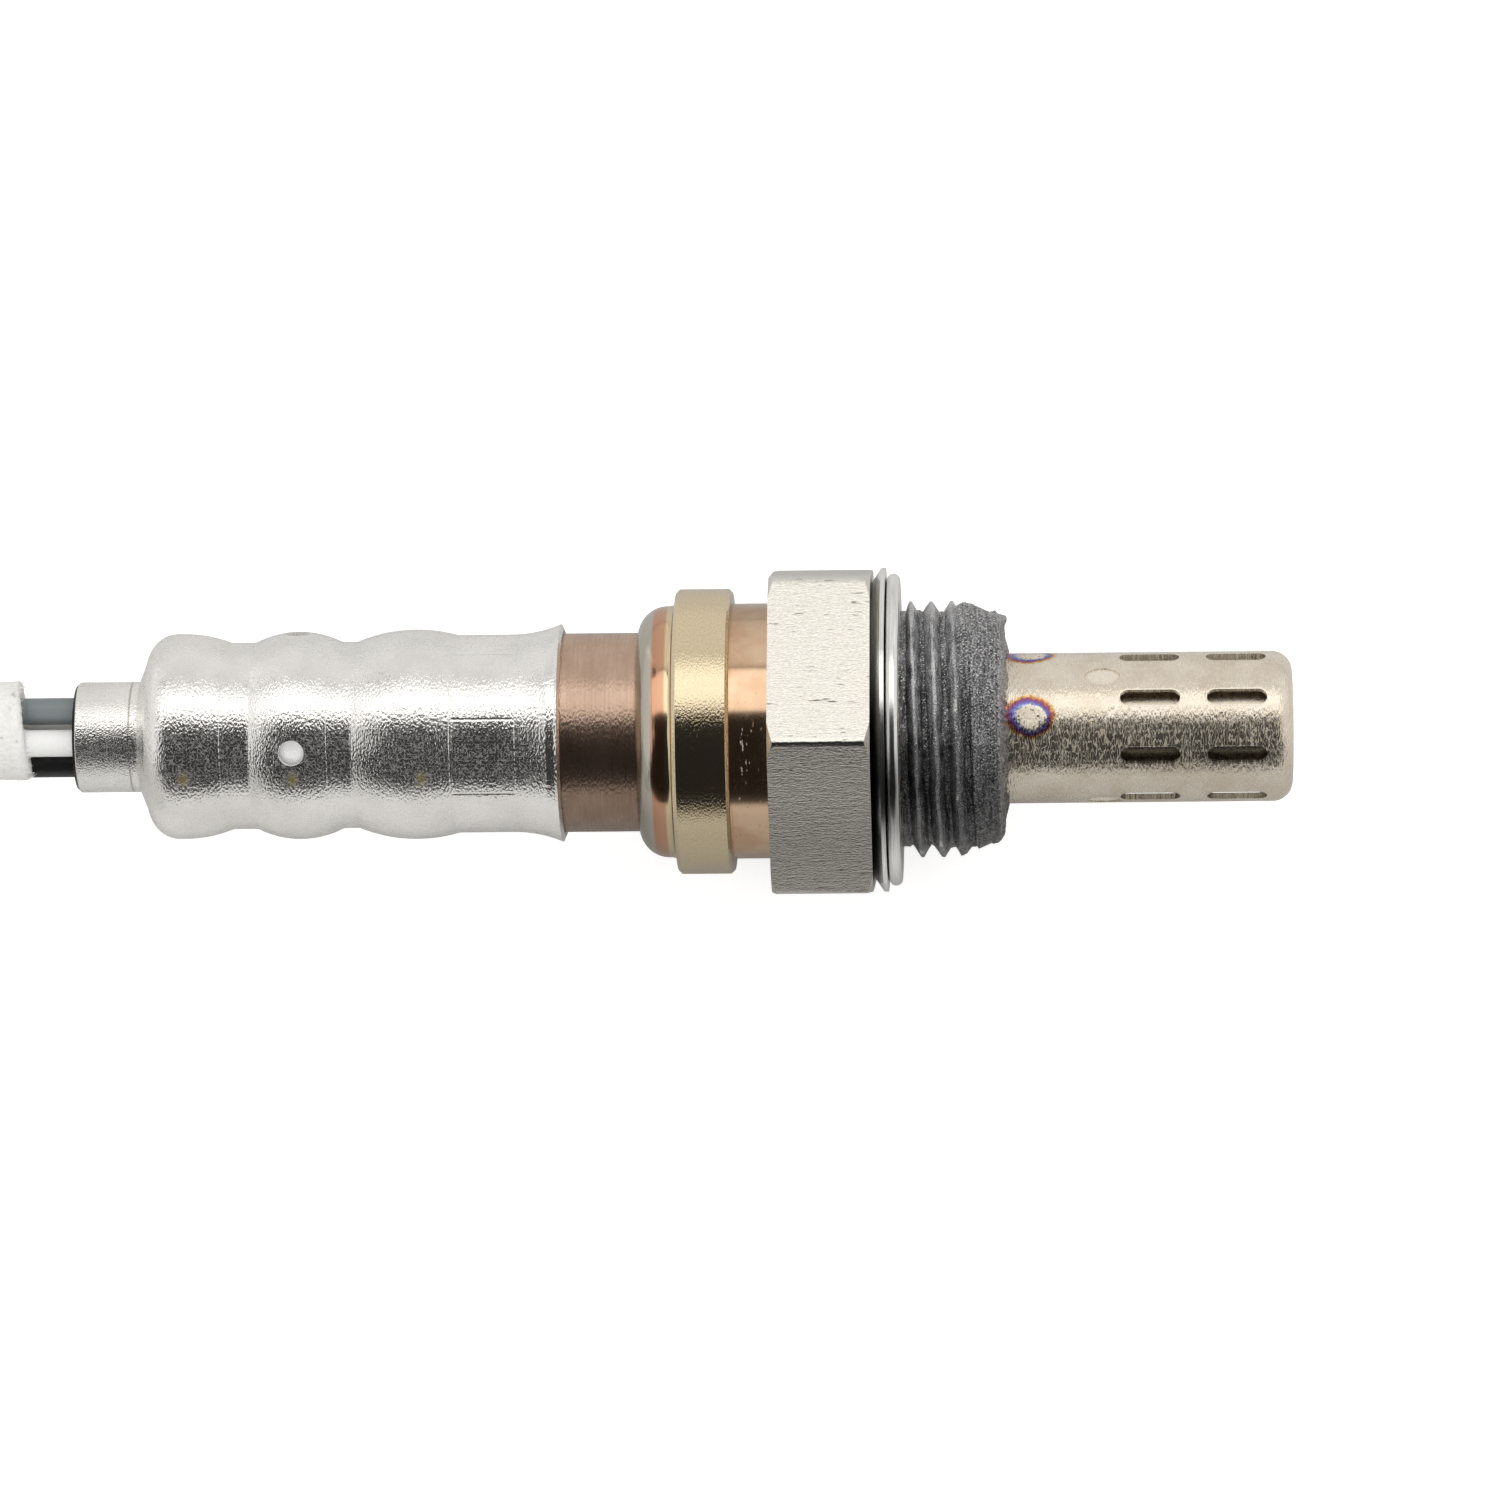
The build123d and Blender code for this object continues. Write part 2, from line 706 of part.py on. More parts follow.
def bend_radii(points):
    """The radius of the arc at each corner of a route: as large as its two runs allow."""
    radii = []
    for before, here, after in zip(points, points[1:], points[2:]):
        half_turn = radians((here - before).get_angle(after - here) / 2)
        shorter = min((here - before).length, (after - here).length)
        radii.append(bend_share * shorter / tan(half_turn))
    return radii


lead_radii = bend_radii(lead_route)
lead_cut = (lead_route[1] + lead_route[2]) / 2
print("lead bend radii", [round(radius, 1) for radius in lead_radii])
with BuildPart() as lead_sleeve:
    with BuildLine():
        lead_path = FilletPolyline(*lead_route[:2], lead_cut, radius=lead_radii[0])
    with BuildSketch(Plane(origin=lead_path @ 0, z_dir=lead_path % 0)):
        Circle(sleeve_radius)
    sweep()
lead_volume = lead_path.length * pi * sleeve_radius**2
print("lead sleeve length", round(lead_path.length, 2))
print("lead sleeve volume against section times length", round(lead_sleeve.part.volume / lead_volume, 5))
finish(lead_sleeve, "lead_sleeve")

# Coil: the outer shape of two turns, one on the other, with the ends that run into and out of it
tail_start = Vector(coil_centre_x, coil_centre_y + coil_radius, coil_high - sleeve_radius)
tail_end = tail_start + Vector(-tail_length, tail_shift, -tail_drop)
coil_section = [
    (-sleeve_radius + coil_bevel, coil_low),
    (sleeve_radius - coil_bevel, coil_low),
    (sleeve_radius, coil_low + coil_bevel),
    (sleeve_radius, coil_high - coil_bevel),
    (sleeve_radius - coil_bevel, coil_high),
    (-sleeve_radius + coil_bevel, coil_high),
    (-sleeve_radius, coil_high - coil_bevel),
    (-sleeve_radius, coil_low + coil_bevel),
]
with BuildPart() as coil_tail:
    with BuildSketch(Plane(origin=tail_start, z_dir=tail_end - tail_start)):
        Circle(sleeve_radius)
    extrude(amount=(tail_end - tail_start).length + sleeve_radius)
    split(bisect_by=Plane.YZ.offset(tail_end.X), keep=Keep.TOP)
with BuildPart() as lead_coil:
    with BuildSketch(Plane.XZ.offset(-coil_centre_y)):
        with BuildLine():
            Polyline(*[(coil_centre_x + coil_radius + x, z) for x, z in coil_section], close=True)
        make_face()
    revolve(axis=Axis((coil_centre_x, coil_centre_y, 0), (0, 0, 1)))
    with BuildLine():
        coil_path = FilletPolyline(lead_cut, *lead_route[2:], radius=lead_radii[1:])
    with BuildSketch(Plane(origin=coil_path @ 0, z_dir=coil_path % 0)):
        Circle(sleeve_radius)
    sweep()
    add(coil_tail.part)
finish(lead_coil, "lead_coil")

# Tie: a flat band round both turns of the coil
tie_outwards = (cos(radians(tie_angle)), sin(radians(tie_angle)), 0)
tie_along = (-sin(radians(tie_angle)), cos(radians(tie_angle)), 0)
tie_origin = Vector(coil_centre_x, coil_centre_y, 0) + Vector(*tie_outwards) * coil_radius
tie_plane = Plane(origin=tie_origin, x_dir=tie_outwards, z_dir=tie_along)
tie_rise = 1 if tie_plane.y_dir.Z > 0 else -1
with BuildPart() as coil_tie:
    with BuildSketch(tie_plane):
        with Locations((0, tie_rise * (coil_low + coil_high) / 2)):
            RectangleRounded(
                sleeve_diameter + 2 * tie_gap + 2 * tie_thickness,
                2 * sleeve_diameter + 2 * tie_thickness,
                coil_bevel,
            )
            Rectangle(sleeve_diameter + 2 * tie_gap, 2 * sleeve_diameter, mode=Mode.SUBTRACT)
    extrude(amount=tie_width / 2, both=True)
finish(coil_tie, "coil_tie")

# Connector: a four-way housing that lies on the floor, with its open nose towards -X
connector_y = tail_end.Y
connector_z = floor_z + connector_height / 2
connector_rear_x = tail_end.X - connector_wire_length
connector_front_x = connector_rear_x - connector_length
nose_rear_x = connector_front_x + connector_nose_length
pin_offset = wire_pitch_radius * cos(radians(45))
pin_spots = [(dy, dz) for dy in (-pin_offset, pin_offset) for dz in (-pin_offset, pin_offset)]


def across(x):
    """A plane across the connector at x, centred on the connector's own axis."""
    return Plane(origin=(x, connector_y, connector_z), x_dir=(0, 1, 0), z_dir=(1, 0, 0))


seal_width = connector_width - 2 * seal_margin
seal_height = connector_height - 2 * seal_margin
lock_width = connector_nose_width - 2 * lock_margin
lock_height = connector_nose_height - 2 * lock_margin
latch_z = connector_height / 2 + latch_gap
terminal_bore = terminal_size - 2 * terminal_wall
with BuildPart() as housing:
    with BuildSketch(across(nose_rear_x)):
        RectangleRounded(connector_width, connector_height, connector_corner)
    extrude(amount=connector_rear_x - nose_rear_x)
    with BuildSketch(across(connector_front_x)):
        RectangleRounded(connector_nose_width, connector_nose_height, connector_corner)
    extrude(amount=connector_nose_length)
    with BuildSketch(across(connector_rear_x - seal_pocket_depth)):
        RectangleRounded(seal_width, seal_height, connector_corner)
    extrude(amount=seal_pocket_depth, mode=Mode.SUBTRACT)
    with BuildSketch(across(connector_front_x)):
        RectangleRounded(lock_width, lock_height, connector_corner / 2)
    extrude(amount=lock_depth, mode=Mode.SUBTRACT)
    with BuildSketch(across(connector_front_x)):
        with Locations(*pin_spots):
            Rectangle(cavity_size, cavity_size)
    extrude(amount=connector_length, mode=Mode.SUBTRACT)
    with BuildSketch(across(connector_rear_x - latch_length)):
        with Locations((0, latch_z + latch_thickness / 2)):
            Rectangle(latch_width, latch_thickness)
    extrude(amount=latch_length)
    with BuildSketch(across(connector_rear_x - latch_length)):
        with Locations((0, latch_z - latch_gap / 2)):
            Rectangle(latch_width, latch_gap)
    extrude(amount=latch_root)
finish(housing, "connector_housing")

with BuildPart() as connector_seal:
    with BuildSketch(across(connector_rear_x - seal_pocket_depth)):
        RectangleRounded(seal_width - 2 * fit, seal_height - 2 * fit, connector_corner - fit)
        with Locations(*pin_spots):
            Circle(wire_radius + fit, mode=Mode.SUBTRACT)
    extrude(amount=seal_pocket_depth - fit)
finish(connector_seal, "connector_seal")

with BuildPart() as connector_lock:
    with BuildSketch(across(connector_front_x)):
        RectangleRounded(lock_width - 2 * fit, lock_height - 2 * fit, connector_corner / 2 - fit)
        with Locations(*pin_spots):
            Rectangle(terminal_bore, terminal_bore, mode=Mode.SUBTRACT)
    extrude(amount=lock_depth)
finish(connector_lock, "connector_lock")

with BuildPart() as face_seal:
    with BuildSketch(across(nose_rear_x - face_seal_length)):
        RectangleRounded(
            connector_nose_width + 2 * face_seal_proud,
            connector_nose_height + 2 * face_seal_proud,
            connector_corner + face_seal_proud,
        )
        RectangleRounded(
            connector_nose_width + 2 * fit,
            connector_nose_height + 2 * fit,
            connector_corner + fit,
            mode=Mode.SUBTRACT,
        )
    extrude(amount=face_seal_length)
finish(face_seal, "connector_face_seal")

terminal_front_x = connector_front_x + lock_depth
terminal_rear_x = connector_rear_x - seal_pocket_depth
with BuildPart() as terminals:
    with BuildSketch(across(terminal_front_x)):
        with Locations(*pin_spots):
            Rectangle(terminal_size, terminal_size)
            Rectangle(terminal_bore, terminal_bore, mode=Mode.SUBTRACT)
    extrude(amount=terminal_rear_x - terminal_front_x)
finish(terminals, "connector_terminals")

# Wires from the sleeve's far end into the terminals
for label, spot in zip(wire_labels, (pin_spots[3], pin_spots[1], pin_spots[0], pin_spots[2])):
    with BuildPart() as tail_wire:
        with BuildSketch(across(terminal_rear_x)):
            with Locations(spot):
                Circle(wire_radius)
        extrude(amount=tail_end.X - terminal_rear_x)
        with BuildSketch(across(terminal_rear_x - conductor_length)):
            with Locations(spot):
                Circle(conductor_radius)
        extrude(amount=conductor_length)
    finish(tail_wire, f"tail_wire_{label}")
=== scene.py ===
from math import cos, pi, radians, sin
from random import Random

import bmesh
import bpy
from mathutils import Matrix, Vector, noise


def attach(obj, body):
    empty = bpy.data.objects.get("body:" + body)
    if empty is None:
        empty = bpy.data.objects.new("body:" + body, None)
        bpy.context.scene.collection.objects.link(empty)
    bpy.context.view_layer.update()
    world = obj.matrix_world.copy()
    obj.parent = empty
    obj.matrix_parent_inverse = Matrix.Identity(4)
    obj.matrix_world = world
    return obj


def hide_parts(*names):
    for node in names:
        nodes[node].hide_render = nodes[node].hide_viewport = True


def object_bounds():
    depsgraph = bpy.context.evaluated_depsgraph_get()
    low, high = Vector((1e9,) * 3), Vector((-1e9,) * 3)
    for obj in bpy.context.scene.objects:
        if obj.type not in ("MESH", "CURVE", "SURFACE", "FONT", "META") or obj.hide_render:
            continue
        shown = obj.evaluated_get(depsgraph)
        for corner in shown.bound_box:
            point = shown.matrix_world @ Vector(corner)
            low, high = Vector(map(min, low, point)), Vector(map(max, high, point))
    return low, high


# Looks of a heated exhaust oxygen sensor. The frame is the CAD's: X is the sensor's axis, with the gas end
# towards +X and the hexagon's seat at X = 0. Angles round the axis go from +Y towards +Z, in degrees. The
# sensor's sizes are named in millimetres and multiplied by MM where they are used. The studio is in metres.
MM = 0.001
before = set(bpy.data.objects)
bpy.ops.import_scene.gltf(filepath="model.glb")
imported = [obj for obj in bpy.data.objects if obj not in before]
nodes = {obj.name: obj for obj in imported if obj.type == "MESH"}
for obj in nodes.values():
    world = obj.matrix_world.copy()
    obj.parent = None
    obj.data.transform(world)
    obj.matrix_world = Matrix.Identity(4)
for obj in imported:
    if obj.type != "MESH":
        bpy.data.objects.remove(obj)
cad_low, cad_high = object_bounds()
scene = bpy.context.scene
floor_z = cad_low.z

# Camera: the photograph looks down at the sensor's side, with the gas end turned a little to the viewer
camera_elevation = radians(60)
camera_azimuth = radians(4.6)
camera_roll = radians(-4.54)
camera_distance = 545
camera_near_clip = 10
film_width = 36
photo_width_px = 1500
photo_focal_px = 7739
view_centre_x = -8.7
axis_above_centre = 1.34


def aim_camera():
    """Add the camera at the photograph's angle, and return the point that it looks at."""
    back = Vector(
        (
            sin(camera_azimuth) * cos(camera_elevation),
            -cos(camera_azimuth) * cos(camera_elevation),
            sin(camera_elevation),
        )
    )
    level_right = Vector((cos(camera_azimuth), sin(camera_azimuth), 0))
    level_up = back.cross(level_right)
    right = level_right * cos(camera_roll) + level_up * sin(camera_roll)
    up = level_up * cos(camera_roll) - level_right * sin(camera_roll)
    target = (Vector((view_centre_x, 0, 0)) - up * axis_above_centre) * MM
    turn = Matrix((right, up, back)).transposed().to_4x4()
    camera = bpy.data.objects.new("camera", bpy.data.cameras.new("camera"))
    camera.data.sensor_width = film_width
    camera.data.lens = film_width * photo_focal_px / photo_width_px
    camera.data.clip_start = camera_near_clip * MM
    camera.matrix_world = Matrix.Translation(target + back * camera_distance * MM) @ turn
    scene.collection.objects.link(camera)
    scene.camera = camera
    return target


view_target = aim_camera()


def link(obj, *replaced, slot=None):
    """Put a piece in the scene, on the sensor's one body, in place of the CAD nodes that it stands for."""
    scene.collection.objects.link(obj)
    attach(obj, "root")
    if replaced:
        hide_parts(*replaced)
    return obj


def smooth_step(low, high, value):
    """0 below low, 1 above high, and an even rise between them."""
    share = min(max((value - low) / (high - low), 0), 1)
    return share * share * (3 - 2 * share)


def turn_apart(angle, other):
    """How far apart two directions round the axis are, from 0 to 180 degrees."""
    return abs((angle - other + 180) % 360 - 180)


def turned_mesh(name, rows, sides, place):
    """A surface wound round the axis from (x, radius) points in millimetres."""
    points = []
    for row in range(rows + 1):
        for side in range(sides):
            angle = 360 * side / sides
            x, radius = place(row, angle)
            points.append((x * MM, radius * cos(radians(angle)) * MM, radius * sin(radians(angle)) * MM))
    faces = []
    for row in range(rows):
        near, far = row * sides, (row + 1) * sides
        for side in range(sides):
            after = (side + 1) % sides
            faces.append((near + side, near + after, far + after, far + side))
    mesh = bpy.data.meshes.new(name)
    mesh.from_pydata(points, [], faces)
    mesh.polygons.foreach_set("use_smooth", [True] * len(faces))
    return mesh


def finished_mesh(name, work):
    """A mesh with what was built in the bmesh, which is freed."""
    mesh = bpy.data.meshes.new(name)
    work.to_mesh(mesh)
    work.free()
    return mesh


# Lead: one smooth line from the sleeve's mouth down to the floor, two turns of coil and the tail to the
# connector. A spline of order 3 runs inside its control points, so the coil's are set out by its growth.
sleeve_diameter = 7.0
sleeve_radius = sleeve_diameter / 2
lead_points = [
    (-60.3, 0.45, 0.26),
    (-66.0, 0.45, 0.26),
    (-73.0, 1.4, -0.8),
    (-81.0, 4.0, -3.4),
    (-89.5, 6.9, -6.3),
    (-97.0, 8.1, -7.7),
]
tail_points = [
    (-114.0, 8.8, 6.5),
    (-123.0, 9.4, 4.1),
    (-131.5, 7.0, -1.2),
    (-139.48, 4.5, -4.9),
]
coil_x, coil_y, coil_radius = -103.48, -27.5, 35.0
coil_start_angle, coil_turns, points_per_turn = 90, 2, 16
spline_growth = 1 / (0.75 + 0.25 * cos(2 * pi / points_per_turn))
rise_angles = ((330, 425), (690, 785))
inset_angles = ((340, 390, 430, 480), (700, 750, 790, 840))
crossing_inset = 3.0
floor_gap = 0.2
coil_low = floor_z / MM + sleeve_radius + floor_gap
spline_steps, section_steps = 8, 8


def coil_point(step):
    """A control point of the coil, which climbs by one turn where it passes over the turn below."""
    angle = coil_start_angle + 360 / points_per_turn * step
    height = coil_low + sleeve_diameter * sum(smooth_step(low, high, angle) for low, high in rise_angles)
    inset = sum(smooth_step(a, b, angle) - smooth_step(c, d, angle) for a, b, c, d in inset_angles)
    radius = (coil_radius - crossing_inset * inset) * spline_growth
    return (coil_x + radius * cos(radians(angle)), coil_y + radius * sin(radians(angle)), height)


def lead_curve():
    """The lead's centre line, with a round section that takes its radius from the points."""
    coil_points = [coil_point(step) for step in range(coil_turns * points_per_turn + 1)]
    route = lead_points + coil_points + tail_points
    curve = bpy.data.curves.new("lead", "CURVE")
    curve.dimensions = "3D"
    spline = curve.splines.new("NURBS")
    spline.points.add(len(route) - 1)
    for point, place in zip(spline.points, route):
        point.co = (*[coordinate * MM for coordinate in place], 1)
        point.radius = sleeve_radius * MM
    spline.order_u = 3
    spline.use_endpoint_u = True
    spline.resolution_u = spline_steps
    curve.bevel_depth = 1.0
    curve.bevel_resolution = section_steps
    return curve


lead = link(bpy.data.objects.new("lead", lead_curve()), "lead_sleeve", "lead_coil", slot="woven_sleeve")

# Sleeve's mouth: its cut and frayed edge, which leans over the wires at the bottom, and the wires inside it
mouth_x, mouth_lean, mouth_angle = -59.85, 0.42, 185
mouth_core, mouth_round, mouth_depth = 0.5, 0.22, 0.5
mouth_start_x = lead_points[0][0] - 0.3
mouth_radius = sleeve_radius + 0.02
rim_radius = mouth_radius - mouth_round
mouth_rows, mouth_sides = 10, 192
edge_waves, edge_roughness = ((3, 4), (9, 1)), 0.07
fibre_count, fibre_seed, fibre_steps = 90, 7, 3
fibre_hold, fibre_root_radius = 0.15, 3.3
fibre_lengths, fibre_lifts, fibre_twists = (0.15, 0.55), (-0.25, 0.2), (-0.3, 0.3)
fibre_width, fibre_taper = 0.035, 0.7
fibre_corners = (Vector((0, 1, 0)), Vector((0, -0.5, 0.87)), Vector((0, -0.5, -0.87)))
wire_radius, wire_pitch_radius, wire_sides = 0.95, 1.9, 32
wire_spots = {"grey": 42, "white_front": 132, "black": 222, "white_rear": 312}
stub_rear_x, stub_front_x = -62.0, -59.5


def mouth_edge(angle):
    """How far towards the sensor the sleeve reaches at an angle, with coarse and fine waves in its cut."""
    y, z = cos(radians(angle)), sin(radians(angle))
    rough = sum(noise.noise(Vector((y * scale, z * scale, patch))) for scale, patch in edge_waves)
    return mouth_x + mouth_lean * cos(radians(angle - mouth_angle)) + edge_roughness * rough


def mouth_place(row, angle):
    """A point of the mouth's skin, from the outside over the rounded edge and back into the sleeve."""
    share = 2 * row / mouth_rows
    edge = mouth_edge(angle)
    if share <= 1:
        drop = mouth_round * (2 * max(share - 0.5, 0)) ** 2
        return mouth_start_x + (edge - mouth_start_x) * share, mouth_radius - drop
    inwards = share - 1
    return edge - mouth_depth * inwards**1.5, rim_radius - (rim_radius - mouth_core) * inwards


def fibre_ring(work, angle, start, bend, share):
    """The corners of a loose fibre's section, at a share of its length."""
    length, lift, twist = bend
    centre = start + Vector((length * share, lift * share**2, twist * share**2))
    width = fibre_width * (1 - fibre_taper * share)
    turn = Matrix.Rotation(radians(angle), 3, "X")
    return [work.verts.new(turn @ (centre + corner * width) * MM) for corner in fibre_corners]


def fray_mesh():
    """Loose glass fibres that stand off the cut edge."""
    chance = Random(fibre_seed)
    work = bmesh.new()
    for _ in range(fibre_count):
        angle = chance.uniform(0, 360)
        bend = [chance.uniform(*limits) for limits in (fibre_lengths, fibre_lifts, fibre_twists)]
        start = Vector((mouth_edge(angle) - fibre_hold, fibre_root_radius, 0))
        shares = [step / fibre_steps for step in range(fibre_steps + 1)]
        rings = [fibre_ring(work, angle, start, bend, share) for share in shares]
        for near, far in zip(rings, rings[1:]):
            for side in range(len(fibre_corners)):
                after = (side + 1) % len(fibre_corners)
                work.faces.new((near[side], near[after], far[after], far[side]))
    return finished_mesh("sleeve_fray", work)


def stub_mesh(angle):
    """The end of one wire inside the sleeve."""
    work = bmesh.new()
    bmesh.ops.create_cone(
        work,
        segments=wire_sides,
        radius1=wire_radius * MM,
        radius2=wire_radius * MM,
        depth=(stub_front_x - stub_rear_x) * MM,
        cap_ends=True,
    )
    bmesh.ops.rotate(work, verts=work.verts, matrix=Matrix.Rotation(pi / 2, 3, "Y"))
    spot = Vector((0, cos(radians(angle)), sin(radians(angle)))) * wire_pitch_radius
    spot.x = (stub_rear_x + stub_front_x) / 2
    bmesh.ops.translate(work, verts=work.verts, vec=spot * MM)
    for face in work.faces:
        face.smooth = len(face.verts) == 4
    return finished_mesh("wire_end", work)


to_sleeve = Matrix.Translation(Vector((0, *lead_points[0][1:])) * MM)
mouth_skin = turned_mesh("sleeve_mouth", mouth_rows, mouth_sides, mouth_place)
loose_fibres = fray_mesh()
mouth_skin.transform(to_sleeve)
loose_fibres.transform(to_sleeve)
sleeve_mouth = link(bpy.data.objects.new("sleeve_mouth", mouth_skin), "lead_sleeve", slot="woven_sleeve")
sleeve_fray = link(bpy.data.objects.new("sleeve_fray", loose_fibres), "lead_sleeve", slot="woven_sleeve")
wire_ends = {}
for name, angle in wire_spots.items():
    wire_ends[name] = link(bpy.data.objects.new(f"wire_end_{name}", stub_mesh(angle)))

# Studio: a white table under a large soft light, pale walls behind and beside it, and a dark viewer's side.
# The table's painted shade begins and ends at a Y in the sensor's millimetres.
table_half_width = 6.0
table_corners = ((-1, -1), (1, -1), (1, 1), (-1, 1))
shade_start_y, shade_end_y = -75, -125
warm_white = (1.0, 0.985, 0.96)
surround_colour = (0.02, 0.02, 0.019, 1)

table_mesh = bpy.data.meshes.new("table")
table_mesh.from_pydata(
    [(x * table_half_width, y * table_half_width, floor_z) for x, y in table_corners],
    [],
    [(0, 1, 2, 3)],
)
table = bpy.data.objects.new("table", table_mesh)
scene.collection.objects.link(table)


def soft_light(name, place, aim, size, radiance, reflected=True):
    """A rectangular soft light that isn't seen itself, as bright as the radiance says."""
    width, height = size
    lamp = bpy.data.lights.new(name, "AREA")
    lamp.shape = "RECTANGLE"
    lamp.size = width
    lamp.size_y = height
    lamp.energy = radiance * pi * width * height
    lamp.color = warm_white
    obj = bpy.data.objects.new(name, lamp)
    obj.location = place
    obj.rotation_mode = "QUATERNION"
    obj.rotation_quaternion = (Vector(aim) - Vector(place)).to_track_quat("-Z", "Y")
    obj.visible_camera = False
    obj.visible_glossy = reflected
    scene.collection.objects.link(obj)


soft_light("overhead", place=(0, 0.25, 1.6), aim=(0, 0.25, 0), size=(3.2, 1.2), radiance=1.32)
soft_light("behind", place=(0, 2.0, 1.7), aim=(0, 0, 1.7), size=(4.0, 3.4), radiance=0.72)
soft_light("left", place=(-2.0, 0.35, 1.05), aim=(0, 0.35, 1.05), size=(3.5, 2.1), radiance=0.8)
soft_light("right", place=(2.0, 0.35, 1.05), aim=(0, 0.35, 1.05), size=(3.5, 2.1), radiance=0.8)
soft_light(
    "fill", place=(-0.1, -1.0, 0.85), aim=view_target, size=(1.2, 1.2), radiance=2.4, reflected=False
)

world = bpy.data.worlds.new("studio")
scene.world = world
world.use_nodes = True
world_background = world.node_tree.nodes["Background"]
world_background.inputs["Color"].default_value = surround_colour
world_background.inputs["Strength"].default_value = 1.0
scene.view_settings.view_transform = "Standard"

# Shell: the CAD's own body behind the seat, with its hexagon's edges eased, and a thread with paste in it
merge_distance = 0.001
seat_x, thread_clear_radius = 0.03, 7
hex_edge_radius, hex_edge_steps = 0.12, 3
hex_corner_reach, lengthwise = 11.5, 0.9
corner_angle, crease_angle = radians(40), radians(28)
thread_pitch, thread_crest, thread_depth = 1.45, 9.0, 0.92
thread_start_x, thread_end_x = 1.95, 8.95
crest_x, crest_angle = 2.68, 30
crest_wander, crest_flat, flank_share = 0.07, 0.12, 0.8
runout_x, runout_depth = (2.0, 2.6), 0.85
chamfer_start_x, chamfer_slope, nose_radius = 5.9, 0.41, 8.05
end_round_x, end_round_depth = 8.6, 0.2
thread_rows, end_rows, thread_sides = 150, 26, 512
tube_radius = 5.2

# Paste: it fills the thread up to a level, with a lump of clots on one side, and bulges at the thread's end
paste_level, paste_under_chamfer, paste_end_x = 8.24, 0.2, 9.1
lump_x, lump_angle, lump_turns = (5.2, 6.4), 45, (20, 62)
lump_height, lump_over_chamfer, clot_height = 0.5, 0.35, 0.16
slow_wave, quick_wave, end_swell, end_chop = 0.2, 0.1, 0.18, 0.2
coarse_x, fine_grain, coarse_grain, late_grain = (5.6, 7.0), 0.04, 0.03, 0.05
least_bulge, bulge_share, foot_length, foot_grain = 0.04, 0.28, 0.3, 0.06
lobe_angle, lobe_turns, lobe_length = 36, (3, 16), 0.4
lobe_rise, lobe_fall = (0, 0.08), (0.1, 0.35)
end_face_curve = 1.25


def plain_thread_faces(work):
    """The faces of the CAD's plain thread and its end, which the thread with its turns replaces."""
    faces = []
    for face in work.faces:
        centre = face.calc_center_median() / MM
        on_thread = centre.x > seat_x and centre.yz.length > thread_clear_radius
        on_end_face = centre.x > thread_end_x and centre.yz.length > tube_radius
        if on_thread or on_end_face:
            faces.append(face)
    return faces


def hexagon_long_edges(work):
    """The hexagon's edges that run along the axis."""
    edges = []
    for edge in work.edges:
        first, second = edge.verts
        along = abs(first.co.x - second.co.x) > lengthwise * edge.calc_length()
        outside = min(first.co.yz.length, second.co.yz.length) > hex_corner_reach * MM
        if along and outside and len(edge.link_faces) == 2 and edge.calc_face_angle() > corner_angle:
            edges.append(edge)
    return edges


def shell_without_thread():
    """The CAD shell's mesh without its plain thread, with the hexagon's long edges rounded."""
    work = bmesh.new()
    work.from_mesh(nodes["shell"].data)
    bmesh.ops.remove_doubles(work, verts=work.verts, dist=merge_distance * MM)
    bmesh.ops.delete(work, geom=plain_thread_faces(work), context="FACES")
    bmesh.ops.bevel(
        work,
        geom=hexagon_long_edges(work),
        offset=hex_edge_radius * MM,
        segments=hex_edge_steps,
        profile=0.5,
        affect="EDGES",
    )
    for edge in work.edges:
        edge.smooth = len(edge.link_faces) == 2 and edge.calc_face_angle() < crease_angle
    for face in work.faces:
        face.smooth = True
    return finished_mesh("shell_body", work)


def ripple(x, angle, scale, stretch=1.0, patch=0):
    """Seeded noise on the turned surface, drawn out round the axis by stretch, from one of its patches."""
    turn = radians(angle)
    reach = thread_crest / stretch
    return noise.noise(Vector(((x + patch) * scale, cos(turn) * reach * scale, sin(turn) * reach * scale)))


def chamfer_radius(x):
    """The radius that the thread's chamfer leaves at a station."""
    return max(thread_crest - chamfer_slope * max(x - chamfer_start_x, 0), nose_radius)


def flank_radius(x, angle):
    """The radius of the bare thread, whose turns wander a little and run out before the relief."""
    turns = (x - crest_x) / thread_pitch - (angle - crest_angle) / 360
    turns += crest_wander * ripple(x, angle, scale=0.7, stretch=2, patch=10)
    from_crest = abs(turns - round(turns)) * 2
    flank = thread_crest - thread_depth * min(max((from_crest - crest_flat) / flank_share, 0), 1)
    return min(flank, chamfer_radius(x)) - runout_depth * (1 - smooth_step(*runout_x, x))


def paste_lump(x, angle):
    """1 where the paste lies thick, towards the thread's end on one side, and 0 elsewhere."""
    return smooth_step(*lump_x, x) * (1 - smooth_step(*lump_turns, turn_apart(angle, lump_angle)))


def paste_radius(x, angle):
    """The radius up to which the paste fills the thread."""
    lump = paste_lump(x, angle)
    level = paste_level + lump_height * lump
    level += slow_wave * ripple(x, angle, scale=0.55, stretch=3)
    level += quick_wave * ripple(x, angle, scale=2.8, stretch=9, patch=40)
    return min(level, chamfer_radius(x) - paste_under_chamfer + lump_over_chamfer * lump)


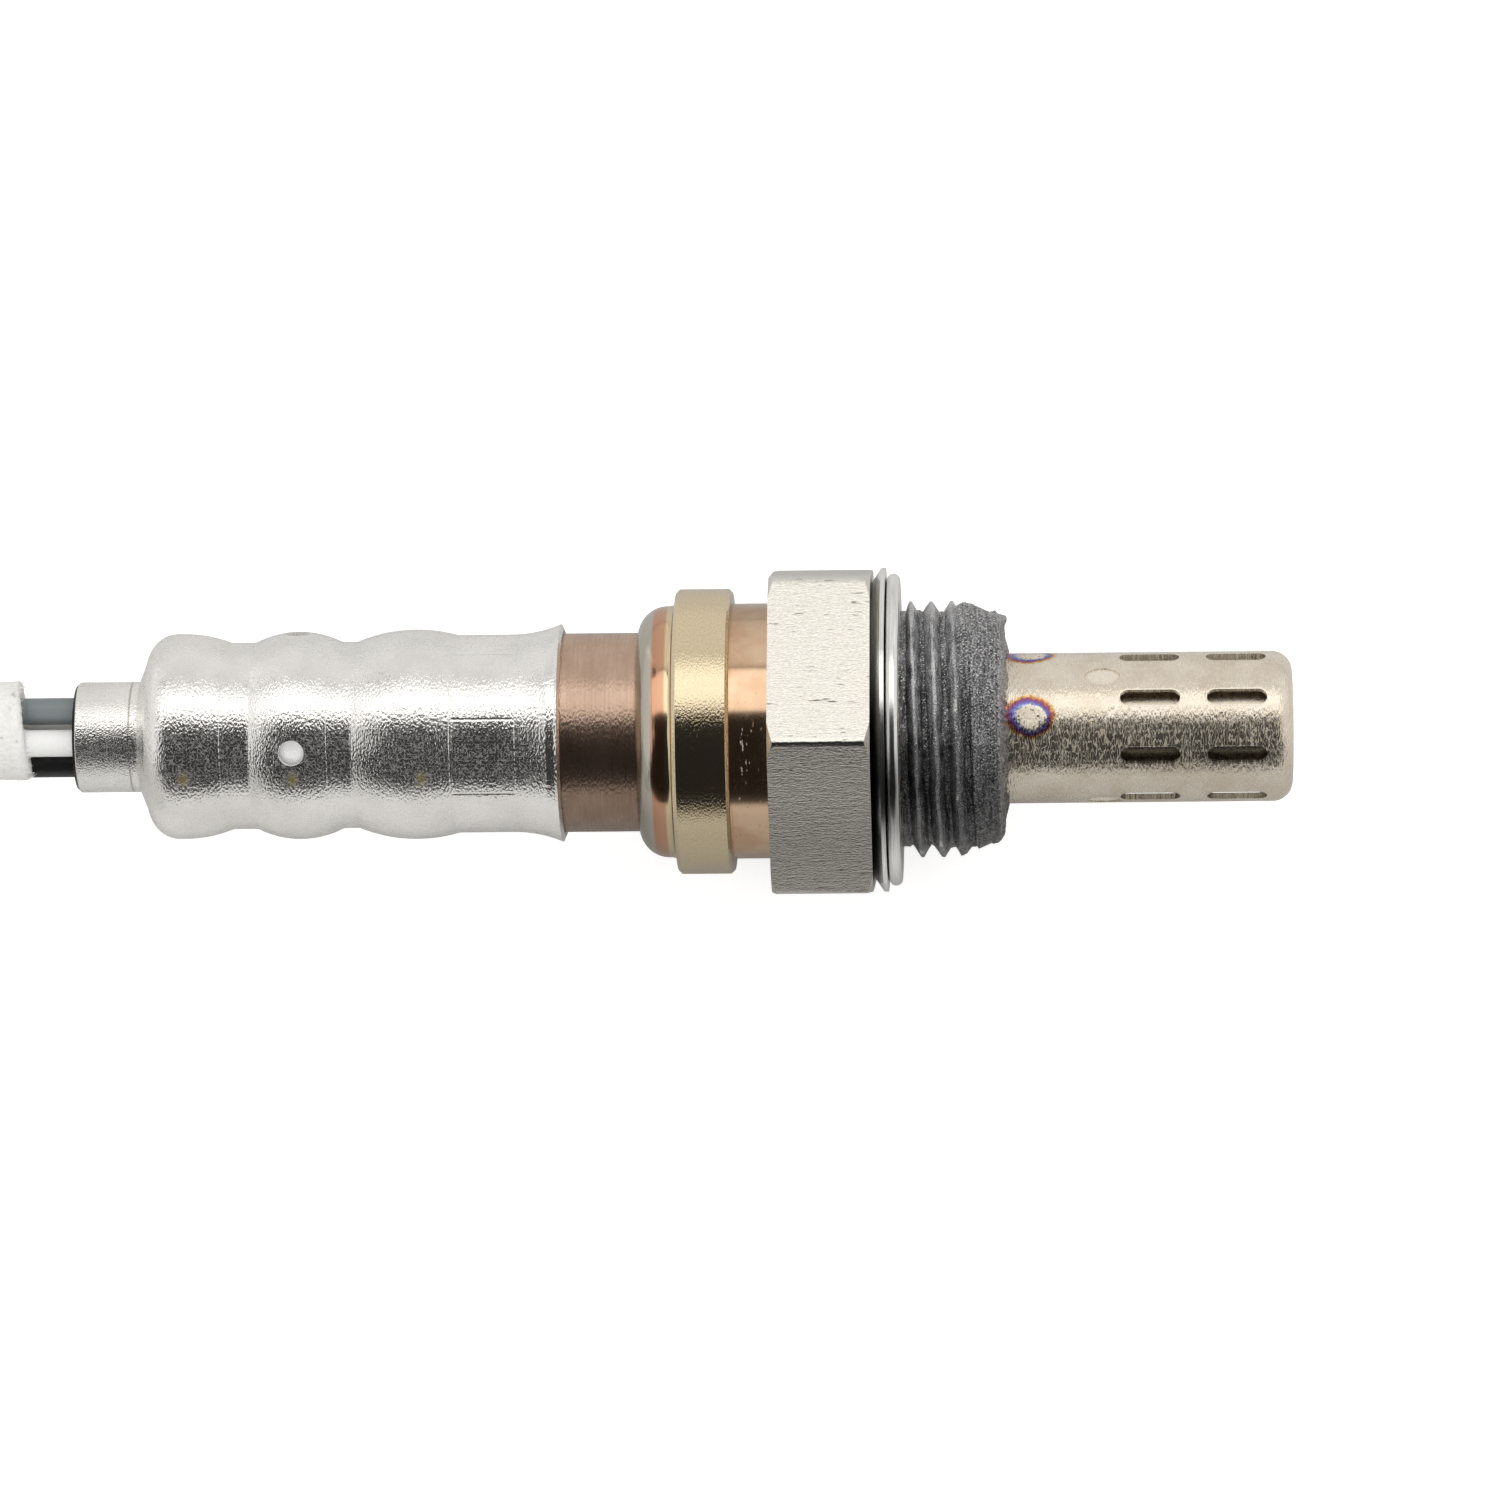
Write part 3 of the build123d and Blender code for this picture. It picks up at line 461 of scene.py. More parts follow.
def paste_grain(x, angle):
    """The height of the paste's grain, which is coarser towards the thread's end."""
    fine = fine_grain * ripple(x, angle, scale=7.0, stretch=9, patch=80)
    coarse_height = coarse_grain + late_grain * smooth_step(*coarse_x, x)
    coarse = coarse_height * ripple(x, angle, scale=3.4, patch=20)
    clots = clot_height * paste_lump(x, angle) * ripple(x, angle, scale=1.5, patch=60)
    return fine + coarse + clots


def thread_radius(x, angle):
    """The radius of the thread with the paste that lies in it."""
    end_round = end_round_depth * smooth_step(end_round_x, thread_end_x, x)
    return max(flank_radius(x, angle), paste_radius(x, angle)) + paste_grain(x, angle) - end_round


def end_face_place(share, angle):
    """A point of the paste's rough end face, from its edge at share 0 to the tube at share 1."""
    edge_radius = thread_radius(thread_end_x, angle)
    bulge = paste_end_x - thread_end_x
    bulge += end_swell * ripple(0, angle, scale=0.9, patch=3)
    bulge += end_chop * ripple(0, angle, scale=2.4, patch=9)
    bulge = max(bulge, least_bulge) * smooth_step(0, bulge_share, share)
    at_lobe = 1 - smooth_step(*lobe_turns, turn_apart(angle, lobe_angle))
    lobe = lobe_length * at_lobe * (smooth_step(*lobe_rise, share) - smooth_step(*lobe_fall, share))
    foot = foot_length * smooth_step(0.5, 1, share)
    foot += foot_grain * share * ripple(share * 4, angle, scale=2.5)
    x = thread_end_x + bulge + lobe + foot
    return x, edge_radius + (tube_radius - edge_radius) * share**end_face_curve


def thread_place(row, angle):
    """A point of the thread's surface, and past its last row of the paste's rough end face."""
    if row > thread_rows:
        return end_face_place((row - thread_rows) / end_rows, angle)
    x = thread_start_x + (thread_end_x - thread_start_x) * row / thread_rows
    return x, thread_radius(x, angle)


shell_body = link(bpy.data.objects.new("shell_body", shell_without_thread()), "shell", slot="shell_steel")
thread_mesh = turned_mesh("thread", thread_rows + end_rows, thread_sides, thread_place)
thread = link(bpy.data.objects.new("thread", thread_mesh), "shell", slot="shell_steel")

# Materials. The side of the sensor that the photograph shows is near 120 degrees, its upper edge in the
# picture near 30 and its lower edge near 210.
black = (0.0, 0.0, 0.0)


def screen(red, green, blue):
    """A colour given by its screen values, as the shader's linear values."""
    return tuple(((value / 255 + 0.055) / 1.055) ** 2.4 for value in (red, green, blue))


class Graph:
    """Adds nodes to one material and joins them. Its places are in millimetres, in the sensor's frame."""

    def __init__(self, name):
        self.material = bpy.data.materials.new(name)
        self.material.use_nodes = True
        self.tree = self.material.node_tree
        self.shader = self.tree.nodes["Principled BSDF"]
        self.place = self.vector("SCALE", self.node("TexCoord").outputs["Object"], scale=1 / MM)
        self.x, self.y, self.z = self.node("SeparateXYZ", self.place).outputs
        self.angle = self.math("MULTIPLY", self.math("ARCTAN2", self.z, self.y), 180 / pi)

    def feed(self, socket, value):
        """Join a socket to another node's output, or set its value."""
        if isinstance(value, bpy.types.NodeSocket):
            self.tree.links.new(value, socket)
        elif value is not None:
            socket.default_value = value

    def node(self, kind, *inputs, **settings):
        """Add a node with its settings, and feed its inputs in order."""
        made = self.tree.nodes.new("ShaderNode" + kind)
        for name, value in settings.items():
            setattr(made, name, value)
        for socket, value in zip(made.inputs, inputs):
            self.feed(socket, value)
        return made

    def math(self, operation, *values):
        """The result of one operation on numbers."""
        return self.node("Math", *values, operation=operation).outputs[0]

    def vector(self, operation, *values, scale=None):
        """The result of one operation on vectors."""
        made = self.node("VectorMath", *values, operation=operation)
        if scale is not None:
            made.inputs["Scale"].default_value = scale
        return made.outputs[0]

    def times(self, first, second):
        """The product of two values."""
        return self.math("MULTIPLY", first, second)

    def add(self, *terms):
        """A sum of (value, weight) terms."""
        total = None
        for value, weight in terms:
            weighed = self.times(value, weight)
            total = weighed if total is None else self.math("ADD", total, weighed)
        return total

    def past(self, value, middle):
        """How far a value lies past a middle."""
        return self.math("SUBTRACT", value, middle)

    def apart(self, value, middle):
        """How far a value lies from a middle, on either side of it."""
        return self.math("ABSOLUTE", self.past(value, middle))

    def largest(self, values):
        """The largest of several values."""
        top = values[0]
        for value in values[1:]:
            top = self.math("MAXIMUM", top, value)
        return top

    def reach(self, first, second):
        """How far a place lies from the origin, by its two coordinates."""
        squares = self.math("ADD", self.math("POWER", first, 2.0), self.math("POWER", second, 2.0))
        return self.math("SQRT", squares)

    def past_nearest(self, direction, spacing):
        """Degrees past the nearest of the directions that repeat round the axis at a spacing."""
        turned = self.math("ADD", self.angle, spacing / 2 - direction)
        return self.past(self.math("FLOORED_MODULO", turned, spacing), spacing / 2)

    def side(self, direction):
        """1 on the side that a direction round the axis points to, and 0 on the opposite side."""
        turn = self.math("RADIANS", self.past(self.angle, direction))
        return self.add((self.math("COSINE", turn), 0.5), (1.0, 0.5))

    def stretch(self, x, y, z):
        """The place with each axis scaled, which draws a texture out along the axis with the least scale."""
        return self.vector("MULTIPLY", self.place, (x, y, z))

    def wrap(self, along, around):
        """A place unrolled from the turned surface: along the axis, and round it."""
        turn = self.times(self.angle, around)
        return self.node("CombineXYZ", self.times(self.x, along), turn, 0.0).outputs[0]

    def noise(self, vector, scale=1.0, detail=2.0, roughness=0.5):
        """A cloudy texture, from about 0 to 1."""
        made = self.node("TexNoise", vector)
        made.inputs["Scale"].default_value = scale
        made.inputs["Detail"].default_value = detail
        made.inputs["Roughness"].default_value = roughness
        return made.outputs[0]

    def worms(self, vector, width):
        """Fine wandering lines, where a noise passes through its middle."""
        return self.ease(self.apart(self.noise(vector, detail=1.0), 0.5), width, 0.0)

    def ease(self, value, start, end, low=0.0, high=1.0):
        """Maps start to low and end to high, with an even rise."""
        made = self.node("MapRange", value, start, end, low, high, interpolation_type="SMOOTHSTEP")
        return made.outputs[0]

    def share(self, value, start, end):
        """How far the value lies from start to end, from 0 to 1."""
        return self.node("MapRange", value, start, end, 0.0, 1.0).outputs[0]

    def between(self, value, low, high, soft=0.02):
        """1 where the value lies between low and high, with soft edges."""
        above = self.ease(value, low - soft, low + soft)
        below = self.ease(value, high + soft, high - soft)
        return self.times(above, below)

    def ring(self, station, half_width, soft):
        """1 on a ring round the axis at a station along it, with soft edges."""
        return self.between(self.x, station - half_width, station + half_width, soft)

    def mix(self, share, first, second):
        """A colour between two colours."""
        made = self.node("Mix", data_type="RGBA")
        self.feed(made.inputs[0], share)
        for socket, value in ((made.inputs[6], first), (made.inputs[7], second)):
            self.feed(socket, value if isinstance(value, bpy.types.NodeSocket) else (*value, 1))
        return made.outputs[2]

    def blend(self, value, start, end, first, second, most=1.0):
        """The first colour where the value is at start, and most of the second where it is at end."""
        return self.mix(self.ease(value, start, end, high=most), first, second)

    def shade(self, colour, direction, start, end, most):
        """A colour with painted shade, which darkens it away from the side that a direction round the axis
        points to.
        """
        return self.blend(self.side(direction), start, end, colour, black, most)

    def ramp(self, value, *stops):
        """A colour looked up along (place, colour) stops."""
        made = self.node("ValToRGB", value)
        band = made.color_ramp
        band.elements[0].position, band.elements[0].color = stops[0][0], (*stops[0][1], 1)
        band.elements[1].position, band.elements[1].color = stops[-1][0], (*stops[-1][1], 1)
        for place, colour in stops[1:-1]:
            band.elements.new(place).color = (*colour, 1)
        return made.outputs[0]

    def bump(self, height, depth, strength=1.0):
        """Let a height stand out of the surface by a depth."""
        made = self.node("Bump")
        self.feed(made.inputs["Strength"], strength)
        made.inputs["Distance"].default_value = depth * MM
        self.feed(made.inputs["Height"], height)
        self.feed(self.shader.inputs["Normal"], made.outputs[0])

    def set(self, **inputs):
        """Set the shader's own sockets, such as Base_Color or Roughness."""
        for name, value in inputs.items():
            socket = self.shader.inputs[name.replace("_", " ")]
            colour = isinstance(value, tuple) and len(value) == 3
            self.feed(socket, (*value, 1) if colour else value)


def plain(name, colour, roughness=0.5, metallic=0.0, contrast=0.12):
    """A material with a fine grain in its colour, its roughness and its surface."""
    graph = Graph(name)
    cloud = graph.noise(graph.place, scale=3.0, detail=4.0, roughness=0.6)
    dark = tuple(channel * (1 - contrast) for channel in colour)
    light = tuple(min(channel * (1 + contrast), 1) for channel in colour)
    graph.set(
        Base_Color=graph.mix(cloud, dark, light),
        Roughness=graph.ease(cloud, 0.2, 0.8, low=roughness * 0.85, high=min(roughness * 1.15, 1.0)),
        Metallic=metallic,
    )
    graph.bump(cloud, depth=0.02)
    return graph.material


def white_table():
    """A table that is seen as white, with painted shade that darkens it towards the viewer in what the metal
    reflects.
    """
    graph = Graph("white_table")
    seen = graph.node("LightPath").outputs["Is Camera Ray"]
    tone = graph.noise(graph.place, scale=0.02)
    # Painted shade: the table's colour darkens towards the viewer, which shows only in reflections.
    shade = graph.ease(graph.y, shade_start_y, shade_end_y)
    white = graph.mix(tone, (0.7, 0.7, 0.7), (0.72, 0.72, 0.72))
    graph.set(
        Base_Color=graph.mix(shade, white, (0.04, 0.04, 0.04)),
        Roughness=0.9,
        Specular_IOR_Level=0.0,
        Emission_Color=(1.0, 1.0, 1.0),
        Emission_Strength=graph.times(seen, graph.ease(shade, 0.0, 1.0, low=0.68, high=1.1)),
    )
    return graph.material


# Outer cover: stations of its neck, grooves, band and flare, and the marks that the crimping leaves there
neck_end_x, neck_crease_x, flare_x = -56.0, -52.2, -22.65
band_start_x, band_end_x = -29.3, -25.0
rear_flank_x, middle_flank_x, flare_land_x = (-47.6, -45.2), (-39.6, -37.4), (-22.65, -22.1)
die_line_xs = (-52.2, -45.5, -43.6, -38.0, -36.4, -29.4, -24.9)
jaw_line_angle, jaw_spacing, jaw_line_turn = 22, 45, 1.2
stain_xs, stain_angles = (-48.1, -40.4, -31.4), (142, 148)
vent_x, vent_edge, vent_angles = -40.45, 0.89, (40, 130)


def die_lines(graph):
    """1 on the fine lines round the cover that the crimping dies leave."""
    return graph.largest([graph.ring(die_x, 0.03, soft=0.05) for die_x in die_line_xs])


def jaw_lines(graph):
    """1 on the fine lines along the band, between the crimping jaws."""
    turn = graph.math("ABSOLUTE", graph.past_nearest(jaw_line_angle, jaw_spacing))
    on_band = graph.between(graph.x, band_start_x, band_end_x, soft=0.06)
    return graph.times(graph.ease(turn, jaw_line_turn, 0.0), on_band)


def cover_stains(graph):
    """1 on the small yellow spots on the bulges."""
    on_side = graph.between(graph.angle, *stain_angles, soft=4)
    return graph.largest([graph.times(graph.ring(x, 0.3, soft=0.35), on_side) for x in stain_xs])


def vent_walls(graph):
    """1 on the walls of the vent holes, which are cut straight across the cover."""
    along = graph.past(graph.x, vent_x)
    walls = []
    for angle in vent_angles:
        aside = graph.add((graph.z, cos(radians(angle))), (graph.y, -sin(radians(angle))))
        walls.append(graph.ease(graph.reach(aside, along), vent_edge + 0.02, vent_edge))
    return graph.largest(walls)


def cover_relief(graph):
    """The cover's grain, and the lines and slopes that the crimping leaves, as a height."""
    grain = graph.noise(graph.wrap(along=7.5, around=0.5), detail=1.0)
    turning = graph.noise(graph.wrap(along=3.0, around=0.02))
    flare_land = graph.share(graph.x, *flare_land_x)
    rear_flank = graph.math("POWER", graph.share(graph.x, *rear_flank_x), 2.0)
    middle_flank = graph.math("POWER", graph.share(graph.x, *middle_flank_x), 2.0)
    lines = graph.add((die_lines(graph), -0.5), (jaw_lines(graph), -0.5))
    slopes = graph.add((flare_land, -2.7), (rear_flank, 6.0), (middle_flank, 6.5))
    return graph.add((grain, 1.0), (turning, 0.15), (lines, 1.0), (slopes, 1.0))


def cover_steel():
    """Bright steel with a fine blasted grain, and the lines and flats that the crimping jaws leave."""
    graph = Graph("bright_steel")
    cloud = graph.noise(graph.place, scale=0.35, detail=3.0)
    stains = cover_stains(graph)
    behind_flare = graph.ease(graph.x, flare_x + 0.05, flare_x - 0.05, high=0.18)
    glints = graph.times(graph.worms(graph.wrap(along=4.0, around=0.42), width=0.08), behind_flare)
    crease_shade = graph.ring(neck_crease_x, 0.06, soft=0.05)
    on_neck = graph.ease(graph.x, neck_crease_x - 0.2, neck_crease_x - 0.8)
    cut_rim = graph.ease(graph.x, neck_end_x + 0.02, neck_end_x - 0.03)
    base = graph.blend(cloud, 0.3, 0.7, screen(240, 239, 236), screen(250, 249, 246))
    # Painted shade in the crease at the neck: a darker ring of colour.
    base = graph.mix(crease_shade, base, screen(188, 185, 178))
    base = graph.mix(stains, base, screen(190, 168, 76))
    metal = graph.ease(vent_walls(graph), 0.0, 1.0, low=0.98, high=0.35)
    polish = graph.ease(cloud, 0.3, 0.7, low=0.13, high=0.18)
    graph.set(
        Base_Color=graph.mix(cut_rim, base, screen(34, 33, 32)),
        Metallic=graph.add((metal, 1.0), (glints, -1.0), (stains, -0.25)),
        Roughness=graph.add((polish, 1.0), (on_neck, 0.075)),
    )
    graph.bump(cover_relief(graph), depth=0.05)
    return graph.material


def bronzed_steel():
    """Heat-tinted steel, finely brushed round the axis, with painted shade away from the side at 92 degrees.
    """
    graph = Graph("bronzed_steel")
    brush = graph.noise(graph.wrap(along=6.5, around=0.03), roughness=0.55)
    grain = graph.noise(graph.wrap(along=8.0, around=0.4), detail=1.0)
    cloud = graph.noise(graph.place, scale=0.4, detail=3.0)
    brown = graph.blend(cloud, 0.3, 0.7, screen(196, 168, 148), screen(212, 184, 164))
    brown = graph.blend(brush, 0.3, 0.75, brown, screen(176, 144, 122), most=0.4)
    # The base colour takes painted shade, darker away from the side at 92 degrees.
    graph.set(
        Base_Color=graph.shade(brown, direction=92, start=0.95, end=0.62, most=0.5),
        Metallic=1.0,
        Roughness=graph.ease(brush, 0.2, 0.8, low=0.26, high=0.34),
    )
    graph.bump(graph.add((brush, 0.2), (grain, 0.7)), depth=0.05)
    return graph.material


# Shell's colours: stations of its lip, ring, collar and hexagon, and the scuffed part of the collar
lip_x = (-16.8, -13.8)
ring_start_x, collar_start_x, hexagon_start_x = -13.85, -9.84, -7.1
scuff_x, scuff_angles = (-9.1, -8.3), (114, 144)


def hexagon_steel(graph, milling, nicks):
    """Bright milled steel with dark nicks."""
    steel = graph.blend(milling, 0.25, 0.75, screen(224, 220, 211), screen(242, 239, 232))
    return graph.blend(nicks, 0.68, 0.74, steel, screen(120, 116, 106))


def collar_scuffs(graph, scratches):
    """1 on the pale scuffs on the collar."""
    on_collar = graph.between(graph.x, *scuff_x, soft=0.15)
    on_side = graph.between(graph.angle, *scuff_angles, soft=8)
    return graph.times(graph.times(on_collar, on_side), graph.ease(scratches, 0.6, 0.68))


def collar_copper(graph, scratches, scuffs):
    """Copper-tinted steel with pale scratches and scuffs, and painted shade away from the side at 140
    degrees.
    """
    cloud = graph.noise(graph.place, scale=0.4, detail=3.0)
    copper = graph.blend(cloud, 0.35, 0.65, screen(222, 184, 150), screen(240, 208, 176))
    copper = graph.blend(scratches, 0.68, 0.76, copper, screen(250, 236, 220))
    copper = graph.mix(scuffs, copper, screen(248, 238, 226))
    return graph.shade(copper, direction=140, start=0.78, end=0.55, most=0.3)


def lip_colours(graph):
    """Bands along the rolled lip: silver, copper and brass, with a dark line before the ring."""
    return graph.ramp(
        graph.share(graph.x, *lip_x),
        (0.0, screen(168, 161, 145)),
        (0.48, screen(196, 190, 179)),
        (0.54, screen(206, 156, 126)),
        (0.8, screen(214, 168, 136)),
        (0.85, screen(236, 216, 178)),
        (0.95, screen(228, 206, 168)),
        (0.98, screen(70, 52, 38)),
    )


def shell_colours():
    """Turned steel: a silver and copper lip, a brass-coloured ring, a coppery collar and a bright hexagon."""
    graph = Graph("shell_steel")
    brush = graph.noise(graph.wrap(along=7.0, around=0.03), detail=3.0, roughness=0.6)
    milling = graph.noise(graph.stretch(4.0, 12.0, 12.0), roughness=0.6)
    nicks = graph.noise(graph.stretch(0.7, 6.0, 6.0))
    scratches = graph.noise(graph.stretch(6.0, 1.3, 1.3), detail=3.0, roughness=0.6)
    sand = graph.noise(graph.wrap(along=9.0, around=0.9))
    on_lip = graph.ease(graph.x, ring_start_x + 0.01, ring_start_x - 0.03)
    on_ring = graph.between(graph.x, ring_start_x, collar_start_x)
    on_collar = graph.between(graph.x, collar_start_x, hexagon_start_x)
    on_hexagon = graph.ease(graph.x, hexagon_start_x - 0.04, hexagon_start_x + 0.04)
    scuffs = collar_scuffs(graph, scratches)
    brass = graph.blend(sand, 0.3, 0.7, screen(226, 208, 174), screen(240, 223, 190))
    colour = graph.mix(on_lip, hexagon_steel(graph, milling, nicks), lip_colours(graph))
    colour = graph.mix(on_ring, colour, brass)
    colour = graph.mix(on_collar, colour, collar_copper(graph, scratches, scuffs))
    # The base colour takes painted shade, darker away from the side at 100 degrees.
    graph.set(
        Base_Color=graph.shade(colour, direction=100, start=0.93, end=0.68, most=0.34),
        Metallic=graph.ease(scuffs, 0.0, 1.0, low=1.0, high=0.5),
        Roughness=graph.ease(on_hexagon, 0.0, 1.0, low=0.15, high=0.2),
    )
    flats = graph.times(on_hexagon, graph.add((milling, 0.45), (nicks, -0.25)))
    blasted = graph.times(on_ring, sand)
    scored = graph.times(on_collar, graph.ease(scratches, 0.66, 0.76))
    graph.bump(graph.add((brush, 0.25), (flats, 0.8), (blasted, 0.6), (scored, -0.35)), depth=0.05)
    return graph.material


# Washer: where its rear leaf takes over from the front one, and the band of painted shade on its lower side
rear_leaf_x, lower_shade_angles = (0.62, 0.3), (132, 166)


def gasket_steel():
    """Rolled steel, streaked and smudged round the washer, with painted shade on its rear leaf and on a band
    of its lower side.
    """
    graph = Graph("gasket_steel")
    streak = graph.noise(graph.wrap(along=7.0, around=0.04), detail=3.0, roughness=0.6)
    smudge = graph.noise(graph.wrap(along=1.2, around=0.12), detail=3.0, roughness=0.6)
    rear_leaf = graph.ease(graph.x, *rear_leaf_x)
    # Painted shade: a band on the lower side, mixed towards black.
    lower_painted_shade = graph.times(graph.between(graph.angle, *lower_shade_angles, soft=14), 0.6)
    steel = graph.blend(streak, 0.3, 0.7, screen(232, 232, 230), screen(252, 252, 250))
    steel = graph.blend(smudge, 0.62, 0.74, steel, screen(96, 95, 92), most=0.55)
    steel = graph.mix(lower_painted_shade, steel, black)
    # Painted shade: the rear leaf darkens towards the side at 150 degrees.
    painted_shade_leaf = graph.blend(graph.side(150), 0.6, 1.0, screen(186, 186, 184), screen(92, 92, 92))
    graph.set(
        Base_Color=graph.mix(rear_leaf, steel, painted_shade_leaf),
        Metallic=1.0,
        Roughness=graph.ease(streak, 0.2, 0.8, low=0.2, high=0.28),
    )
    graph.bump(streak, depth=0.02)
    return graph.material


# Paste's colours: the radii and stations where they change, with painted shade in the thread's valleys
valley_shade_radii, worn_radii = (8.1, 9.3), (8.84, 8.98)
granular_x, end_face_x = (5.2, 6.6), (9.05, 9.3)


def paste_colour(graph, streak, speck, radius, granular):
    """Dark grey with lighter streaks round the thread, painted shade in the valleys and painted highlight on
    the crests, grains towards its end, and bright specks.
    """
    patches = graph.noise(graph.wrap(along=1.5, around=0.09))
    patchy = graph.ease(patches, 0.3, 0.65, low=0.15, high=0.75)
    # Painted shade and painted highlight: the colour lightens from the valleys to the crests, with streaks.
    rows = graph.add((graph.times(graph.share(radius, *valley_shade_radii), patchy), 1.0), (streak, 0.75))
    streaks_and_valley_shade = graph.blend(rows, 0.25, 0.75, screen(62, 62, 64), screen(204, 204, 206))
    gritty = graph.add((speck, 0.55), (streak, 0.45))
    grains = graph.blend(gritty, 0.38, 0.62, screen(84, 84, 86), screen(196, 196, 198))
    colour = graph.mix(granular, streaks_and_valley_shade, grains)
    return graph.blend(speck, 0.56, 0.65, colour, screen(238, 238, 239))


def thread_paste():
    """Dark graphite paste with fine streaks round the thread, worn to bright metal on some crests."""
    graph = Graph("thread_paste")
    streak = graph.noise(graph.wrap(along=6.0, around=0.06), detail=3.0, roughness=0.65)
    speck = graph.noise(graph.place, scale=7.5, roughness=0.6)
    wear = graph.noise(graph.wrap(along=0.7, around=0.05))
    radius = graph.reach(graph.y, graph.z)
    worn = graph.times(graph.ease(radius, *worn_radii), graph.ease(wear, 0.6, 0.68, high=0.8))
    granular = graph.ease(graph.x, *granular_x)
    end_face = graph.ease(graph.add((graph.x, 1.0), (speck, 0.6)), *end_face_x)
    end_grey = graph.blend(speck, 0.36, 0.62, screen(92, 92, 93), screen(176, 176, 177))
    colour = graph.mix(end_face, paste_colour(graph, streak, speck, radius, granular), end_grey)
    # Painted shade: darker away from the side at 70 degrees.
    colour = graph.shade(colour, direction=70, start=0.98, end=0.5, most=0.6)
    graph.set(
        Base_Color=graph.mix(worn, colour, screen(230, 230, 228)),
        Metallic=graph.ease(end_face, 0.0, 1.0, low=1.0, high=0.1),
        Roughness=graph.ease(worn, 0.0, 1.0, low=0.26, high=0.2),
    )
    rough = graph.add((streak, 0.7), (speck, 0.8), (graph.times(granular, speck), 0.4))
    graph.bump(rough, depth=0.14, strength=graph.ease(end_face, 0.0, 1.0, low=1.0, high=0.2))
    return graph.material


# Outer protection tube: its spot welds, dimples and slots, in millimetres along and round its skin
skin_radius = 5.28
skin_per_degree = skin_radius * pi / 180
weld_x, weld_length, weld_width, weld_angles, weld_spacing = 11.0, 1.75, 1.4, (45, 111), 180
weld_ramp_end = 1.4
dimple_x, dimple_length, dimple_width, dimple_angle, dimple_spacing = 16.1, 1.25, 0.8, 77, 120
slot_x, slot_row_offset, slot_angle, slot_spacing = 22.425, 3.025, 7, 45
slot_half_length, slot_half_width = 2.1, 0.6


def weld_places(graph, cloud, fringe):
    """How far a place lies along its weld, and how far from its centre, where 1 is the weld's ragged edge."""
    along = graph.math("DIVIDE", graph.past(graph.x, weld_x), weld_length)
    turns = [graph.math("ABSOLUTE", graph.past_nearest(angle, weld_spacing)) for angle in weld_angles]
    aside = graph.times(graph.math("MINIMUM", *turns), skin_per_degree / weld_width)
    smooth_reach = graph.reach(along, aside)
    reach = graph.add((smooth_reach, 1.0), (graph.past(cloud, 0.5), 0.5), (graph.past(fringe, 0.5), 0.35))
    return along, reach


def heat_colours(graph, along, reach, fringe):
    """Rings of heat colours round a pale weld, wider on its rear side, with dark specks of slag."""
    off_centre = graph.times(along, graph.ease(reach, 0.9, 0.3))
    heat = graph.ramp(
        graph.add((reach, 1 / weld_ramp_end), (off_centre, -0.18)),
        (0.0, screen(240, 230, 212)),
        (0.4, screen(236, 224, 206)),
        (0.44, screen(160, 178, 212)),
        (0.5, screen(112, 112, 176)),
        (0.58, screen(124, 78, 130)),
        (0.65, screen(170, 100, 84)),
        (0.72, screen(222, 180, 120)),
        (0.82, screen(234, 223, 206)),
    )
    slag = graph.times(graph.ease(fringe, 0.56, 0.64), graph.between(reach, 0.3, 0.58, soft=0.08))
    return graph.mix(slag, heat, screen(60, 54, 46))


def dimples(graph):
    """1 in the dished middles of the dimples."""
    along = graph.math("DIVIDE", graph.past(graph.x, dimple_x), dimple_length)
    turn = graph.past_nearest(dimple_angle, dimple_spacing)
    aside = graph.times(turn, skin_per_degree / dimple_width)
    return graph.ease(graph.reach(along, aside), 1.15, 0.7)


def slot_rims(graph):
    """1 on the rims of the two rows of slots, which take a painted highlight and a bump."""
    from_row = graph.apart(graph.apart(graph.x, slot_x), slot_row_offset)
    along = graph.math("MAXIMUM", graph.past(from_row, slot_half_length - slot_half_width), 0.0)
    aside = graph.times(graph.past_nearest(slot_angle, slot_spacing), skin_per_degree)
    return graph.ease(graph.reach(along, aside), slot_half_width + 0.1, slot_half_width + 0.02)


